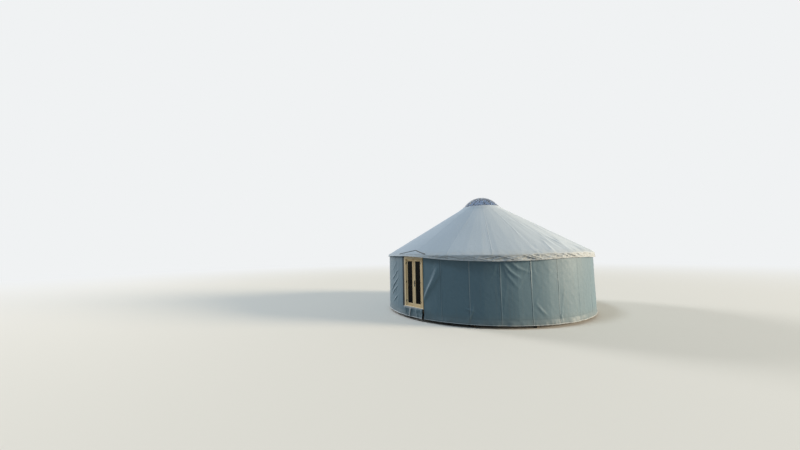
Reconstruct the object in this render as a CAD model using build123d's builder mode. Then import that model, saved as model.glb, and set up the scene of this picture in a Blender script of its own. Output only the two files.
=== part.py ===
from build123d import *
import os
from math import asin, cos, degrees, hypot, radians, sin, sqrt, tan

# Round frame tent on a timber platform. Millimetres, +Z up, door facing -Y.
# The origin is on the ground under the middle of the plan.

# Clearances
SEAT = 0.3
MOVE_GAP = 5.0
BUTT_GAP = 0.5

# Platform
STUMP_W = 140.0
STUMP_H = 198.0
STUMP_SPACING = 1600.0
STUMP_CHAMFER = 8.0
BEARER_W = 90.0
BEARER_D = 140.0
JOIST_W = 45.0
JOIST_D = 140.0
JOIST_SPACING = 600.0
DECK_T = 22.0
DECK_CHAMFER = 3.0
RIM_T = 30.0
RIM_PIECES = 8

# Round wall
LATTICE_R = 4905.0
LATH_W = 38.0
LATH_T = 20.0
DIAMOND_ROWS = 4.5
LATTICE_FOOT = 41.0
LATTICE_TIP = 31.0
BAYS_PER_SECTION = 8
SECTIONS_PER_SIDE = 3
END_LATH_W = 30.0
END_LATH_LAP = 5.5
CABLE_T = 10.0

# Wall cover
WALL_COVER_T = 6.0
WALL_COVER_GAP = 4.0
WALL_COVER_LEAN = 5.0
WALL_COVER_TOP_DROP = 30.0
SKIRT_BOTTOM = 120.0
SKIRT_CREASE_DROP = 8.0
SKIRT_TUCK = 1.5
SKIRT_FLARE = 12.0
WALL_EDGE_GAP_LEFT = 152.0
WALL_EDGE_GAP_RIGHT = 17.0
WALL_SEAM_ANGLES = (29.89, 69.04, 108.19, 147.34)
FLAP_STRIP_T = 3.0
FLAP_STRIP_LAP = 50.0

# Roof
EAVE_OVERHANG = 35.0
ROOF_SLOPE = 30.6
VALANCE_H = 241.0
VALANCE_H_DOOR = 128.0
VALANCE_NOTCH_LAP = 55.0
ROOF_COVER_T = 4.0
ROOF_SECTORS = 6
ROOF_SEAM_ANGLE = 40.0
FLARE_RUN = 290.0
RAFTER_W = 38.0
RAFTER_D = 89.0
RAFTER_SEAT_L = 29.0
RAFTER_TAIL_IN = 8.0
GABLE_RUN = 313.0
GABLE_SPREAD = 1890.0

# Crown
RING_R = 930.0
RING_W = 100.0
RING_RISE = 31.0
RING_D = 160.0
TENON_L = 42.0
RIB_COUNT = 12
RIB_W = 30.0
RIB_D = 30.0
RIB_GAP = 12.0
HUB_R = 70.0
DOME_INSET = 25.0
DOME_H = 515.0
DOME_T = 5.0
DOME_FLANGE_W = 37.0

# Door frame
FRAME_HALF_W = 590.0
FRAME_SET_BACK = 5.0
FRAME_CHAMFER = 4.0
FRAME_D = 120.0
JAMB_W = 100.0
HEAD_H = 113.0
SILL_H = 45.0
SILL_NOSE = 18.0
STOP_W = 15.0
LEAF_RECESS = 30.0

# Door leaves
LEAF_T = 44.0
LEAF_H = 2002.0
MEETING_HALF_GAP = 4.0
HINGE_STILE = 74.0
MEETING_STILE = 88.0
TOP_RAIL = 100.0
BOTTOM_RAIL = 110.0
GLASS_T = 6.0
GLASS_BITE = 10.0
BEAD = 8.0

# Hinges
HINGE_INSET = 2.0
HINGE_OUT = 8.0
BARREL_R = 5.5
BARREL_L = 45.0
HINGE_PLATE_W = 43.0
HINGE_PLATE_T = 4.0
REVEAL_PLATE_T = 2.0
HINGE_END = 200.0

# Handle
HANDLE_Z = 985.0
PLATE_W = 45.0
PLATE_H = 250.0
PLATE_T = 4.0
PLATE_DROP = 30.0
SPINDLE_R = 5.0
SPINDLE_BORE = 10.0
LEVER_R = 8.0
LEVER_L = 118.0
LEVER_OUT = 46.0

# Apron under the door
APRON_T = 4.0
APRON_LAP_SIDE = 15.0
APRON_TAPER = 45.0
APRON_LAP = 30.0

# Radii and levels that follow
SLOPE = radians(ROOF_SLOPE)
ALONG = Vector(-cos(SLOPE), sin(SLOPE))
ABOVE = Vector(sin(SLOPE), cos(SLOPE))
DOOR_DIRECTION = -90.0
BEARER_Z = STUMP_H
JOIST_Z = BEARER_Z + BEARER_D
DECK_Z = JOIST_Z + JOIST_D
FLOOR_Z = DECK_Z + DECK_T
SILL_TOP = FLOOR_Z + SILL_H
LEAF_Z = SILL_TOP + MOVE_GAP
HEAD_Z = LEAF_Z + LEAF_H + MOVE_GAP
PLATE_Z = HEAD_Z + HEAD_H
LATTICE_BOTTOM = FLOOR_Z
LATTICE_TOP = PLATE_Z - CABLE_T
DIAMOND_H = (LATTICE_TOP - LATTICE_TIP - LATTICE_BOTTOM - LATTICE_FOOT) / DIAMOND_ROWS
COVER_IN_R = LATTICE_R + WALL_COVER_GAP
WALL_OUTER_R = COVER_IN_R + WALL_COVER_T
BASE_R = COVER_IN_R + WALL_COVER_LEAN - SEAT
EAVE_R = WALL_OUTER_R + EAVE_OVERHANG
RAFTER_TAIL_R = LATTICE_R - RAFTER_TAIL_IN
TAIL_TOP_Z = PLATE_Z - RAFTER_SEAT_L * tan(SLOPE) + RAFTER_D / cos(SLOPE)
EAVE_Z = TAIL_TOP_Z + (ROOF_COVER_T + SEAT) / cos(SLOPE) - (EAVE_R - RAFTER_TAIL_R) * tan(SLOPE)
RING_TOP = EAVE_Z + (EAVE_R - RING_R) * tan(SLOPE) + RING_RISE
DOME_R = RING_R - DOME_INSET
FRAME_FRONT = LATTICE_R - FRAME_SET_BACK
OPENING_HALF = FRAME_HALF_W - JAMB_W
LEAF_FRONT = FRAME_FRONT - LEAF_RECESS
LEAF_BACK = LEAF_FRONT - LEAF_T
STOP_FRONT = LEAF_BACK - MOVE_GAP
FRAME_BACK = FRAME_FRONT - FRAME_D
LEAF_EDGE = OPENING_HALF - MOVE_GAP
HINGE_X = LEAF_EDGE - HINGE_INSET
HINGE_Y = LEAF_FRONT + HINGE_OUT
HANDLE_X = MEETING_HALF_GAP + MEETING_STILE / 2
HINGE_HEIGHTS = (HINGE_END, LEAF_H / 2, LEAF_H - HINGE_END)

# Angles from the middle of the door: the trellis fills what the door frame leaves
BAY_COUNT = BAYS_PER_SECTION * SECTIONS_PER_SIDE * 2
TRELLIS_END_X = FRAME_HALF_W + SEAT + END_LATH_W - END_LATH_LAP
DOOR_ANGLE = degrees(asin(TRELLIS_END_X / LATTICE_R))
PITCH_ANGLE = (360 - 2 * DOOR_ANGLE) / BAY_COUNT
CORNER_ANGLES = [DOOR_ANGLE + k * PITCH_ANGLE for k in range(BAY_COUNT + 1)]
RAFTER_TURNS = [Location((0, 0, 0), (0, 0, a + DOOR_DIRECTION)) for a in (0.0, *CORNER_ANGLES)]

os.makedirs("parts", exist_ok=True)


def cone_z(radius):
    """Height of the roof cover's outer face at a radius from the middle."""
    return EAVE_Z + (EAVE_R - radius) * tan(SLOPE)


def radial_plane(angle):
    """Upright plane through the middle, its X pointing out at an angle from the door."""
    turn = radians(angle + DOOR_DIRECTION)
    return Plane(
        origin=(0, 0, 0),
        x_dir=(cos(turn), sin(turn), 0),
        z_dir=(sin(turn), -cos(turn), 0),
    )


def butt(radius):
    """Angle taken by half of the gap between two neighbouring pieces."""
    return degrees(BUTT_GAP / 2 / radius)


# Stumps, bearers and joists
stump_rows = int(2 * BASE_R / STUMP_SPACING)
stump_offset = (stump_rows - 1) / 2
stump_places = [
    ((column - stump_offset) * STUMP_SPACING, (row - stump_offset) * STUMP_SPACING)
    for column in range(stump_rows)
    for row in range(stump_rows)
]
stump_places = [p for p in stump_places if hypot(*p) + STUMP_W < BASE_R - RIM_T]

with BuildPart() as stumps:
    with Locations(*[(x, y, STUMP_H / 2) for x, y in stump_places]):
        Box(STUMP_W, STUMP_W, STUMP_H)
    chamfer(stumps.edges().filter_by(Axis.Z), length=STUMP_CHAMFER)

with BuildPart() as bearers:
    with Locations((0, 0, BEARER_Z)):
        with GridLocations(0, STUMP_SPACING, 1, stump_rows):
            Box(
                2 * BASE_R,
                BEARER_W,
                BEARER_D,
                align=(Align.CENTER, Align.CENTER, Align.MIN),
            )
    with Locations((0, 0, BEARER_Z)):
        Cylinder(
            BASE_R - RIM_T - STUMP_W,
            BEARER_D,
            align=(Align.CENTER, Align.CENTER, Align.MIN),
            mode=Mode.INTERSECT,
        )

with BuildPart() as joists:
    with Locations((0, 0, JOIST_Z)):
        with GridLocations(JOIST_SPACING, 0, int(2 * BASE_R / JOIST_SPACING), 1):
            Box(
                JOIST_W,
                2 * BASE_R,
                JOIST_D,
                align=(Align.CENTER, Align.CENTER, Align.MIN),
            )
    with Locations((0, 0, JOIST_Z)):
        Cylinder(
            BASE_R - RIM_T - SEAT,
            JOIST_D,
            align=(Align.CENTER, Align.CENTER, Align.MIN),
            mode=Mode.INTERSECT,
        )

# Round deck and the bent boards round its edge
with BuildPart() as floor_deck:
    with Locations((0, 0, DECK_Z)):
        Cylinder(BASE_R, DECK_T, align=(Align.CENTER, Align.CENTER, Align.MIN))
    chamfer(floor_deck.edges().filter_by(GeomType.CIRCLE).sort_by(Axis.Z)[-1], length=DECK_CHAMFER)

rim_arc = 360 / RIM_PIECES - 2 * butt(BASE_R)
with BuildPart() as rim_piece:
    with BuildSketch(radial_plane(-rim_arc / 2)):
        with Locations((BASE_R - RIM_T / 2, JOIST_Z + JOIST_D / 2)):
            Rectangle(RIM_T, JOIST_D)
    revolve(axis=Axis.Z, revolution_arc=rim_arc)

with BuildPart() as rim_board:
    with PolarLocations(0, RIM_PIECES, start_angle=180 / RIM_PIECES):
        add(rim_piece.part)

# One flat bay of the trellis, mitred to its neighbours, facing the door side
bay_half = LATTICE_R * sin(radians(PITCH_ANGLE / 2))
bay_face = LATTICE_R * cos(radians(PITCH_ANGLE / 2))
lath_slope = Vector(2 * bay_half, DIAMOND_H).get_angle(Vector(1, 0))
lath_rows = range(-1, int(DIAMOND_ROWS) + 2)
first_crossing = LATTICE_BOTTOM + LATTICE_FOOT
mitre_gap = SEAT / 2 / sin(radians(PITCH_ANGLE / 2))

with BuildPart() as lattice_bay:
    with BuildSketch(Plane.XZ.offset(bay_face)):
        with Locations(*[(0, first_crossing + row * DIAMOND_H) for row in lath_rows]):
            Rectangle(3 * bay_half, LATH_W, rotation=lath_slope)
            Rectangle(3 * bay_half, LATH_W, rotation=-lath_slope)
        with Locations((0, LATTICE_BOTTOM)):
            Rectangle(
                2 * bay_half,
                LATTICE_TOP - LATTICE_BOTTOM,
                align=(Align.CENTER, Align.MIN),
                mode=Mode.INTERSECT,
            )
    extrude(amount=-LATH_T)
    with BuildSketch(Plane.XY):
        with BuildLine():
            Polyline(
                (0, -mitre_gap),
                (-bay_half, -bay_face - mitre_gap),
                (bay_half, -bay_face - mitre_gap),
                close=True,
            )
        make_face()
    extrude(amount=PLATE_Z, mode=Mode.INTERSECT)

# Sections of bays that meet at their mitres; the first one ends in an upright lath at the jamb
end_lath_y = -LATTICE_R * cos(radians(DOOR_ANGLE)) + FLAP_STRIP_T / 2
for side, sign in (("right", 1), ("left", -1)):
    for number in range(SECTIONS_PER_SIDE):
        first_bay = DOOR_ANGLE + PITCH_ANGLE * (number * BAYS_PER_SECTION + 0.5)
        turns = [sign * (first_bay + k * PITCH_ANGLE) for k in range(BAYS_PER_SECTION)]
        with BuildPart() as lattice:
            with Locations(*[Location((0, 0, 0), (0, 0, turn)) for turn in turns]):
                add(lattice_bay.part)
            if number == 0:
                with Locations((sign * (FRAME_HALF_W + SEAT), end_lath_y, LATTICE_BOTTOM)):
                    Box(
                        END_LATH_W,
                        END_LATH_W,
                        LATTICE_TOP - LATTICE_BOTTOM,
                        align=(Align.MIN if sign > 0 else Align.MAX, Align.MIN, Align.MIN),
                    )
        name = f"lattice_{side}_{number + 1}"
        lattice.part.label = name
        export_step(lattice.part, f"parts/{name}.step")

# Tension band that lies on the tips of the trellis, from jamb to jamb
band_outer = [(LATTICE_R * sin(radians(a)), -LATTICE_R * cos(radians(a))) for a in CORNER_ANGLES]
inner_share = 1 - LATH_T / bay_face
band_inner = [(x * inner_share, y * inner_share) for x, y in band_outer]
jamb_side = FRAME_HALF_W + SEAT

with BuildPart() as wall_cable:
    with BuildSketch(Plane.XY.offset(LATTICE_TOP)):
        with BuildLine():
            Polyline(
                (jamb_side, band_outer[0][1]),
                *band_outer,
                (-jamb_side, band_outer[-1][1]),
                (-jamb_side, band_inner[-1][1]),
                *reversed(band_inner),
                (jamb_side, band_inner[0][1]),
                close=True,
            )
        make_face()
    extrude(amount=CABLE_T)

# Rafters: the top edge lies under the cover, the foot sits on the band, the head in the ring
rafter_top = ABOVE * -(ROOF_COVER_T + SEAT)
eave_point = Vector(EAVE_R, EAVE_Z) + rafter_top


def on_rafter(radius, depth=0.0):
    """Point of the rafter's side, at a radius and a depth square to its top edge."""
    top = eave_point + ALONG * ((eave_point.X - radius) / cos(SLOPE))
    return top - ABOVE * depth


head_top = on_rafter(RING_R - TENON_L)
head_low = head_top - ABOVE * RAFTER_D
tail_top = on_rafter(RAFTER_TAIL_R)
seat_inner = RAFTER_TAIL_R - RAFTER_SEAT_L

with BuildPart() as rafter:
    with BuildSketch(Plane.XZ):
        with BuildLine():
            Polyline(
                (head_top.X, head_top.Y),
                (head_low.X, head_low.Y),
                (seat_inner, PLATE_Z),
                (RAFTER_TAIL_R, PLATE_Z),
                (RAFTER_TAIL_R, tail_top.Y),
                close=True,
            )
        make_face()
    extrude(amount=RAFTER_W / 2, both=True)

with BuildPart() as rafters:
    with Locations(*RAFTER_TURNS):
        add(rafter.part)

# Crown ring with a slanted mortise for every rafter head
with BuildPart() as mortise:
    with BuildSketch(Plane.XZ):
        deep_top = head_top + (ALONG + ABOVE) * SEAT
        deep_low = head_low + (ALONG - ABOVE) * SEAT
        reach = ALONG * -2 * RING_W
        with BuildLine():
            Polyline(
                (deep_top.X, deep_top.Y),
                (deep_low.X, deep_low.Y),
                ((deep_low + reach).X, (deep_low + reach).Y),
                ((deep_top + reach).X, (deep_top + reach).Y),
                close=True,
            )
        make_face()
    extrude(amount=RAFTER_W / 2 + SEAT, both=True)

with BuildPart() as crown_ring:
    with BuildSketch(Plane.XZ):
        with Locations((RING_R, RING_TOP)):
            Rectangle(RING_W, RING_D, align=(Align.MAX, Align.MAX))
    revolve(axis=Axis.Z)
    with Locations(*RAFTER_TURNS):
        add(mortise.part, mode=Mode.SUBTRACT)

# Dome light on the ring, over the edge of the roof cover
flange_z = RING_TOP + ROOF_COVER_T + 2 * SEAT
dome_base = flange_z + DOME_T
dome_sphere = (DOME_R**2 + DOME_H**2) / (2 * DOME_H)
dome_mid_z = dome_base + DOME_H - dome_sphere
inner_sphere = dome_sphere - DOME_T
inner_base_r = sqrt(inner_sphere**2 - (flange_z - dome_mid_z) ** 2)


def sphere_point(sphere, height):
    """Point at a height on an arc about the dome's centre, as radius and height."""
    return (sqrt(sphere**2 - (height - dome_mid_z) ** 2), height)


with BuildPart() as dome:
    with BuildSketch(Plane.XZ):
        with BuildLine():
            ThreePointArc(
                (DOME_R, dome_base),
                sphere_point(dome_sphere, dome_base + DOME_H * 0.6),
                (0, dome_mid_z + dome_sphere),
            )
            Line((0, dome_mid_z + dome_sphere), (0, dome_mid_z + inner_sphere))
            ThreePointArc(
                (0, dome_mid_z + inner_sphere),
                sphere_point(inner_sphere, dome_base + DOME_H * 0.6),
                (inner_base_r, flange_z),
            )
            Polyline(
                (inner_base_r, flange_z),
                (DOME_R + DOME_FLANGE_W, flange_z),
                (DOME_R + DOME_FLANGE_W, dome_base),
                (DOME_R, dome_base),
            )
        make_face()
    revolve(axis=Axis.Z)

# Arched ribs under the dome, meeting at a hub
rib_outer = inner_sphere - RIB_GAP
rib_inner = rib_outer - RIB_D
rib_foot_z = RING_TOP + SEAT
rib_mid_z = rib_foot_z + DOME_H * 0.6

with BuildPart() as rib:
    with BuildSketch(Plane.XZ):
        with BuildLine():
            ThreePointArc(
                sphere_point(rib_outer, rib_foot_z),
                sphere_point(rib_outer, rib_mid_z),
                (0, dome_mid_z + rib_outer),
            )
            Line((0, dome_mid_z + rib_outer), (0, dome_mid_z + rib_inner))
            ThreePointArc(
                (0, dome_mid_z + rib_inner),
                sphere_point(rib_inner, rib_mid_z),
                sphere_point(rib_inner, rib_foot_z),
            )
            Line(sphere_point(rib_inner, rib_foot_z), sphere_point(rib_outer, rib_foot_z))
        make_face()
    extrude(amount=RIB_W / 2, both=True)

with BuildPart() as crown_ribs:
    with PolarLocations(0, RIB_COUNT, start_angle=DOOR_DIRECTION + 180 / RIB_COUNT):
        add(rib.part)
    with Locations((0, 0, dome_mid_z + rib_outer)):
        Cylinder(HUB_R, RIB_D + RIB_GAP, align=(Align.CENTER, Align.CENTER, Align.MAX))

# Roof cover: valance, cone and the flare up to the top of the ring
cover_top = RING_TOP + ROOF_COVER_T + SEAT
cover_lip_r = RING_R + ROOF_COVER_T + SEAT
roof_arc = 360 / ROOF_SECTORS - 2 * butt(EAVE_R)
roof_start = ROOF_SEAM_ANGLE - 360 / ROOF_SECTORS + butt(EAVE_R)

with BuildPart() as roof_sector:
    with BuildSketch(radial_plane(roof_start)):
        with BuildLine():
            Polyline(
                (EAVE_R, EAVE_Z - VALANCE_H),
                (EAVE_R, EAVE_Z),
                (RING_R + FLARE_RUN, cone_z(RING_R + FLARE_RUN)),
                (cover_lip_r, cover_top),
                (DOME_R, cover_top),
            )
            offset(amount=ROOF_COVER_T, side=Side.LEFT, kind=Kind.INTERSECTION)
        make_face()
    revolve(axis=Axis.Z, revolution_arc=roof_arc)

with BuildPart() as roof_front:
    add(roof_sector.part)
    with Locations((0, -EAVE_R, EAVE_Z - VALANCE_H_DOOR)):
        Box(
            2 * (FRAME_HALF_W + VALANCE_NOTCH_LAP),
            EAVE_R / 4,
            VALANCE_H,
            align=(Align.CENTER, Align.CENTER, Align.MAX),
            mode=Mode.SUBTRACT,
        )

# Pointed rain flap on the roof over the door
flap_low = Vector(EAVE_R - ROOF_COVER_T, cone_z(EAVE_R - ROOF_COVER_T)) + ABOVE * SEAT
gable_apex_r = EAVE_R - GABLE_RUN
flap_high = Vector(gable_apex_r, cone_z(gable_apex_r)) + ABOVE * SEAT + ALONG * ROOF_COVER_T
foot_x = GABLE_SPREAD / 2
foot_y = -sqrt(EAVE_R**2 - foot_x**2)
gable_angle = degrees(asin(foot_x / EAVE_R))

with BuildPart() as gable_flap:
    with BuildSketch(radial_plane(-gable_angle)):
        with BuildLine():
            Line((flap_low.X, flap_low.Y), (flap_high.X, flap_high.Y))
            offset(amount=ROOF_COVER_T, side=Side.RIGHT)
        make_face()
    revolve(axis=Axis.Z, revolution_arc=2 * gable_angle)
    with BuildSketch(Plane.XY.offset(EAVE_Z - VALANCE_H)):
        with BuildLine():
            Polyline(
                (-foot_x, foot_y),
                (0, -gable_apex_r),
                (foot_x, foot_y),
                (foot_x, -2 * EAVE_R),
                (-foot_x, -2 * EAVE_R),
                close=True,
            )
        make_face()
    extrude(amount=EAVE_R, mode=Mode.INTERSECT)

# Wall cover in lengths that meet at the seams
wall_spans = {}
edge_angles = {
    "right": degrees(asin((FRAME_HALF_W + WALL_EDGE_GAP_RIGHT) / COVER_IN_R)),
    "left": degrees(asin((FRAME_HALF_W + WALL_EDGE_GAP_LEFT) / COVER_IN_R)),
}
for side, sign in (("right", 1), ("left", -1)):
    edges_at = (edge_angles[side],) + WALL_SEAM_ANGLES
    for number in range(len(WALL_SEAM_ANGLES)):
        ends = (sign * edges_at[number], sign * edges_at[number + 1])
        wall_spans[f"wall_{side}_{number + 1}"] = (min(ends), max(ends))
wall_spans["wall_back"] = (WALL_SEAM_ANGLES[-1], 360 - WALL_SEAM_ANGLES[-1])

for name, (start, end) in wall_spans.items():
    arc = end - start - 2 * butt(COVER_IN_R)
    with BuildPart() as wall:
        with BuildSketch(radial_plane(start + butt(COVER_IN_R))):
            with BuildLine():
                Polyline(
                    (WALL_OUTER_R + WALL_COVER_LEAN + SKIRT_FLARE, SKIRT_BOTTOM),
                    (WALL_OUTER_R + WALL_COVER_LEAN - SKIRT_TUCK, JOIST_Z - SKIRT_CREASE_DROP),
                    (WALL_OUTER_R + WALL_COVER_LEAN, JOIST_Z - SEAT),
                    (WALL_OUTER_R + WALL_COVER_LEAN, FLOOR_Z),
                    (WALL_OUTER_R, PLATE_Z - WALL_COVER_TOP_DROP),
                )
                offset(amount=WALL_COVER_T, side=Side.LEFT, kind=Kind.INTERSECTION)
            make_face()
        revolve(axis=Axis.Z, revolution_arc=arc)
    wall.part.label = name
    export_step(wall.part, f"parts/{name}.step")

# Dark strips that close the wall between the door frame and the cover's edge
strip_outer = COVER_IN_R - SEAT
strip_start = degrees(asin((FRAME_HALF_W + 2 * SEAT) / (strip_outer - FLAP_STRIP_T)))
for side, sign in (("right", 1), ("left", -1)):
    lap_angle = edge_angles[side] + degrees(FLAP_STRIP_LAP / COVER_IN_R)
    ends = (sign * strip_start, sign * lap_angle)
    with BuildPart() as door_flap:
        with BuildSketch(radial_plane(min(ends))):
            with Locations((strip_outer, FLOOR_Z + SEAT)):
                Rectangle(
                    FLAP_STRIP_T,
                    PLATE_Z - WALL_COVER_TOP_DROP - FLOOR_Z,
                    align=(Align.MAX, Align.MIN),
                )
        revolve(axis=Axis.Z, revolution_arc=max(ends) - min(ends))
    name = f"door_flap_{side}"
    door_flap.part.label = name
    export_step(door_flap.part, f"parts/{name}.step")

# Door frame
with BuildPart() as door_jamb_right:
    with BuildSketch(Plane.XY.offset(SILL_TOP)):
        with BuildLine():
            Polyline(
                (FRAME_HALF_W, -FRAME_FRONT),
                (OPENING_HALF, -FRAME_FRONT),
                (OPENING_HALF, -STOP_FRONT),
                (OPENING_HALF - STOP_W, -STOP_FRONT),
                (OPENING_HALF - STOP_W, -FRAME_BACK),
                (FRAME_HALF_W, -FRAME_BACK),
                close=True,
            )
        make_face()
    extrude(amount=HEAD_Z - SILL_TOP)
    chamfer(door_jamb_right.edges().filter_by(Axis.Z).group_by(Axis.Y)[0], length=FRAME_CHAMFER)

with BuildPart() as door_jamb_left:
    add(door_jamb_right.part.mirror(Plane.YZ))

with BuildPart() as door_head:
    with Locations((0, -FRAME_FRONT, HEAD_Z)):
        Box(
            2 * FRAME_HALF_W,
            FRAME_D,
            HEAD_H,
            align=(Align.CENTER, Align.MIN, Align.MIN),
        )
    with Locations((0, -STOP_FRONT, HEAD_Z)):
        Box(
            2 * (OPENING_HALF - STOP_W),
            STOP_FRONT - FRAME_BACK,
            STOP_W,
            align=(Align.CENTER, Align.MIN, Align.MAX),
        )
    chamfer(door_head.edges().filter_by(Axis.X).group_by(Axis.Y)[0], length=FRAME_CHAMFER)

with BuildPart() as door_sill:
    with BuildSketch(Plane.YZ):
        with BuildLine():
            Polyline(
                (-FRAME_FRONT - SILL_NOSE, FLOOR_Z),
                (-FRAME_BACK, FLOOR_Z),
                (-FRAME_BACK, SILL_TOP + STOP_W),
                (-STOP_FRONT, SILL_TOP + STOP_W),
                (-STOP_FRONT, SILL_TOP),
                (-FRAME_FRONT, SILL_TOP),
                (-FRAME_FRONT - SILL_NOSE, SILL_TOP - SILL_NOSE / 2),
                close=True,
            )
        make_face()
    extrude(amount=FRAME_HALF_W, both=True)
    with Locations(
        (FRAME_HALF_W - JAMB_W / 2 - STOP_W / 2, -STOP_FRONT, SILL_TOP),
        (-FRAME_HALF_W + JAMB_W / 2 + STOP_W / 2, -STOP_FRONT, SILL_TOP),
    ):
        Box(
            JAMB_W + STOP_W,
            2 * (STOP_FRONT - FRAME_BACK),
            2 * STOP_W,
            align=(Align.CENTER, Align.CENTER, Align.MIN),
            mode=Mode.SUBTRACT,
        )

# Door leaves, the right one first, with a groove that holds the glass
leaf_w = LEAF_EDGE - MEETING_HALF_GAP
leaf_mid_x = MEETING_HALF_GAP + leaf_w / 2
light_w = leaf_w - HINGE_STILE - MEETING_STILE
light_h = LEAF_H - TOP_RAIL - BOTTOM_RAIL
light_x = MEETING_HALF_GAP + MEETING_STILE + light_w / 2
light_z = LEAF_Z + BOTTOM_RAIL + light_h / 2
leaf_mid_y = -(LEAF_FRONT + LEAF_BACK) / 2

with BuildPart() as leaf_right:
    with BuildSketch(Plane.XZ.offset(LEAF_FRONT)):
        with Locations((leaf_mid_x, LEAF_Z + LEAF_H / 2)):
            Rectangle(leaf_w, LEAF_H)
        with Locations((light_x, light_z)):
            Rectangle(light_w, light_h, mode=Mode.SUBTRACT)
    extrude(amount=-LEAF_T)
    light_edges = leaf_right.edges().filter_by(
        lambda e: abs(e.center().X - light_x) < light_w / 2 + 1
        and abs(e.center().Z - light_z) < light_h / 2 + 1
        and abs(e.center().Y - leaf_mid_y) > 1
    )
    chamfer(light_edges, length=BEAD)
    with Locations((light_x, leaf_mid_y, light_z)):
        Box(
            light_w + 2 * (GLASS_BITE + SEAT),
            GLASS_T + 2 * SEAT,
            light_h + 2 * (GLASS_BITE + SEAT),
            mode=Mode.SUBTRACT,
        )
with BuildPart() as leaf_left:
    add(leaf_right.part.mirror(Plane.YZ))

with BuildPart() as glass_right:
    with Locations((light_x, leaf_mid_y, light_z)):
        Box(light_w + 2 * GLASS_BITE, GLASS_T, light_h + 2 * GLASS_BITE)

with BuildPart() as glass_left:
    add(glass_right.part.mirror(Plane.YZ))

# The spindle's hole goes through the right leaf only
with BuildPart() as leaf_right_bored:
    add(leaf_right.part)
    with Locations(Location((HANDLE_X, leaf_mid_y, LEAF_Z + HANDLE_Z), (90, 0, 0))):
        Cylinder(SPINDLE_BORE, 2 * LEAF_T, mode=Mode.SUBTRACT)

# Lift-off hinges: upper barrel and face plate on the leaf, lower barrel in the frame
with BuildPart() as leaf_hinges_right:
    with Locations(*[(HINGE_X, -HINGE_Y, LEAF_Z + h + SEAT / 2) for h in HINGE_HEIGHTS]):
        Cylinder(BARREL_R, BARREL_L, align=(Align.CENTER, Align.CENTER, Align.MIN))
    with Locations(*[(HINGE_X, -LEAF_FRONT - SEAT, LEAF_Z + h + SEAT / 2) for h in HINGE_HEIGHTS]):
        Box(HINGE_PLATE_W, HINGE_PLATE_T, BARREL_L, align=(Align.MAX, Align.MAX, Align.MIN))

with BuildPart() as leaf_hinges_left:
    add(leaf_hinges_right.part.mirror(Plane.YZ))

reveal_plate_w = FRAME_FRONT - HINGE_Y
with BuildPart() as frame_hinges_right:
    with Locations(*[(HINGE_X, -HINGE_Y, LEAF_Z + h - SEAT / 2) for h in HINGE_HEIGHTS]):
        Cylinder(BARREL_R, BARREL_L, align=(Align.CENTER, Align.CENTER, Align.MAX))
    with Locations(*[(OPENING_HALF - SEAT, -HINGE_Y, LEAF_Z + h - SEAT / 2) for h in HINGE_HEIGHTS]):
        Box(REVEAL_PLATE_T, reveal_plate_w, BARREL_L, align=(Align.MAX, Align.MAX, Align.MAX))

with BuildPart() as frame_hinges:
    add(frame_hinges_right.part)
    add(frame_hinges_right.part.mirror(Plane.YZ))

# Handle on the meeting stile of the right leaf: two plates and one pair of levers
handle_z = LEAF_Z + HANDLE_Z
plate_mid_z = handle_z - PLATE_DROP
with BuildPart() as handle_plates:
    with Locations(
        (HANDLE_X, -LEAF_FRONT - SEAT - PLATE_T / 2, plate_mid_z),
        (HANDLE_X, -LEAF_BACK + SEAT + PLATE_T / 2, plate_mid_z),
    ):
        Box(PLATE_W, PLATE_T, PLATE_H)
    fillet(handle_plates.edges().filter_by(Axis.Y), radius=PLATE_W / 4)
    with Locations(Location((HANDLE_X, leaf_mid_y, handle_z), (90, 0, 0))):
        Cylinder(SPINDLE_R + SEAT, 2 * LEAF_T, mode=Mode.SUBTRACT)

lever_y = LEAF_T / 2 + LEVER_OUT
with BuildPart() as handle:
    with Locations(Location((HANDLE_X, leaf_mid_y, handle_z), (90, 0, 0))):
        Cylinder(SPINDLE_R, 2 * lever_y)
    with Locations(
        Location((HANDLE_X, leaf_mid_y - lever_y, handle_z), (0, 90, 0)),
        Location((HANDLE_X, leaf_mid_y + lever_y, handle_z), (0, 90, 0)),
    ):
        Cylinder(LEVER_R, LEVER_L, align=(Align.CENTER, Align.CENTER, Align.MIN))
        Sphere(LEVER_R)

# Apron hanging from the sill in front of the platform
apron_half = FRAME_HALF_W + APRON_LAP_SIDE
with BuildPart() as apron:
    with BuildSketch(Plane.XZ.offset(FRAME_FRONT + SILL_NOSE + SEAT)):
        with BuildLine():
            Polyline(
                (-apron_half, FLOOR_Z + APRON_LAP),
                (apron_half, FLOOR_Z + APRON_LAP),
                (apron_half - APRON_TAPER, SKIRT_BOTTOM),
                (-apron_half + APRON_TAPER, SKIRT_BOTTOM),
                close=True,
            )
        make_face()
    extrude(amount=APRON_T)

# Roof sectors that repeat, named by the way they face
roof_names = ("right_front", "right_back", "back", "left_back", "left_front")
for step, facing in enumerate(roof_names, start=1):
    with BuildPart() as roof:
        with Locations(Location((0, 0, 0), (0, 0, step * 360 / ROOF_SECTORS))):
            add(roof_sector.part)
    name = f"roof_{facing}"
    roof.part.label = name
    export_step(roof.part, f"parts/{name}.step")

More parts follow.
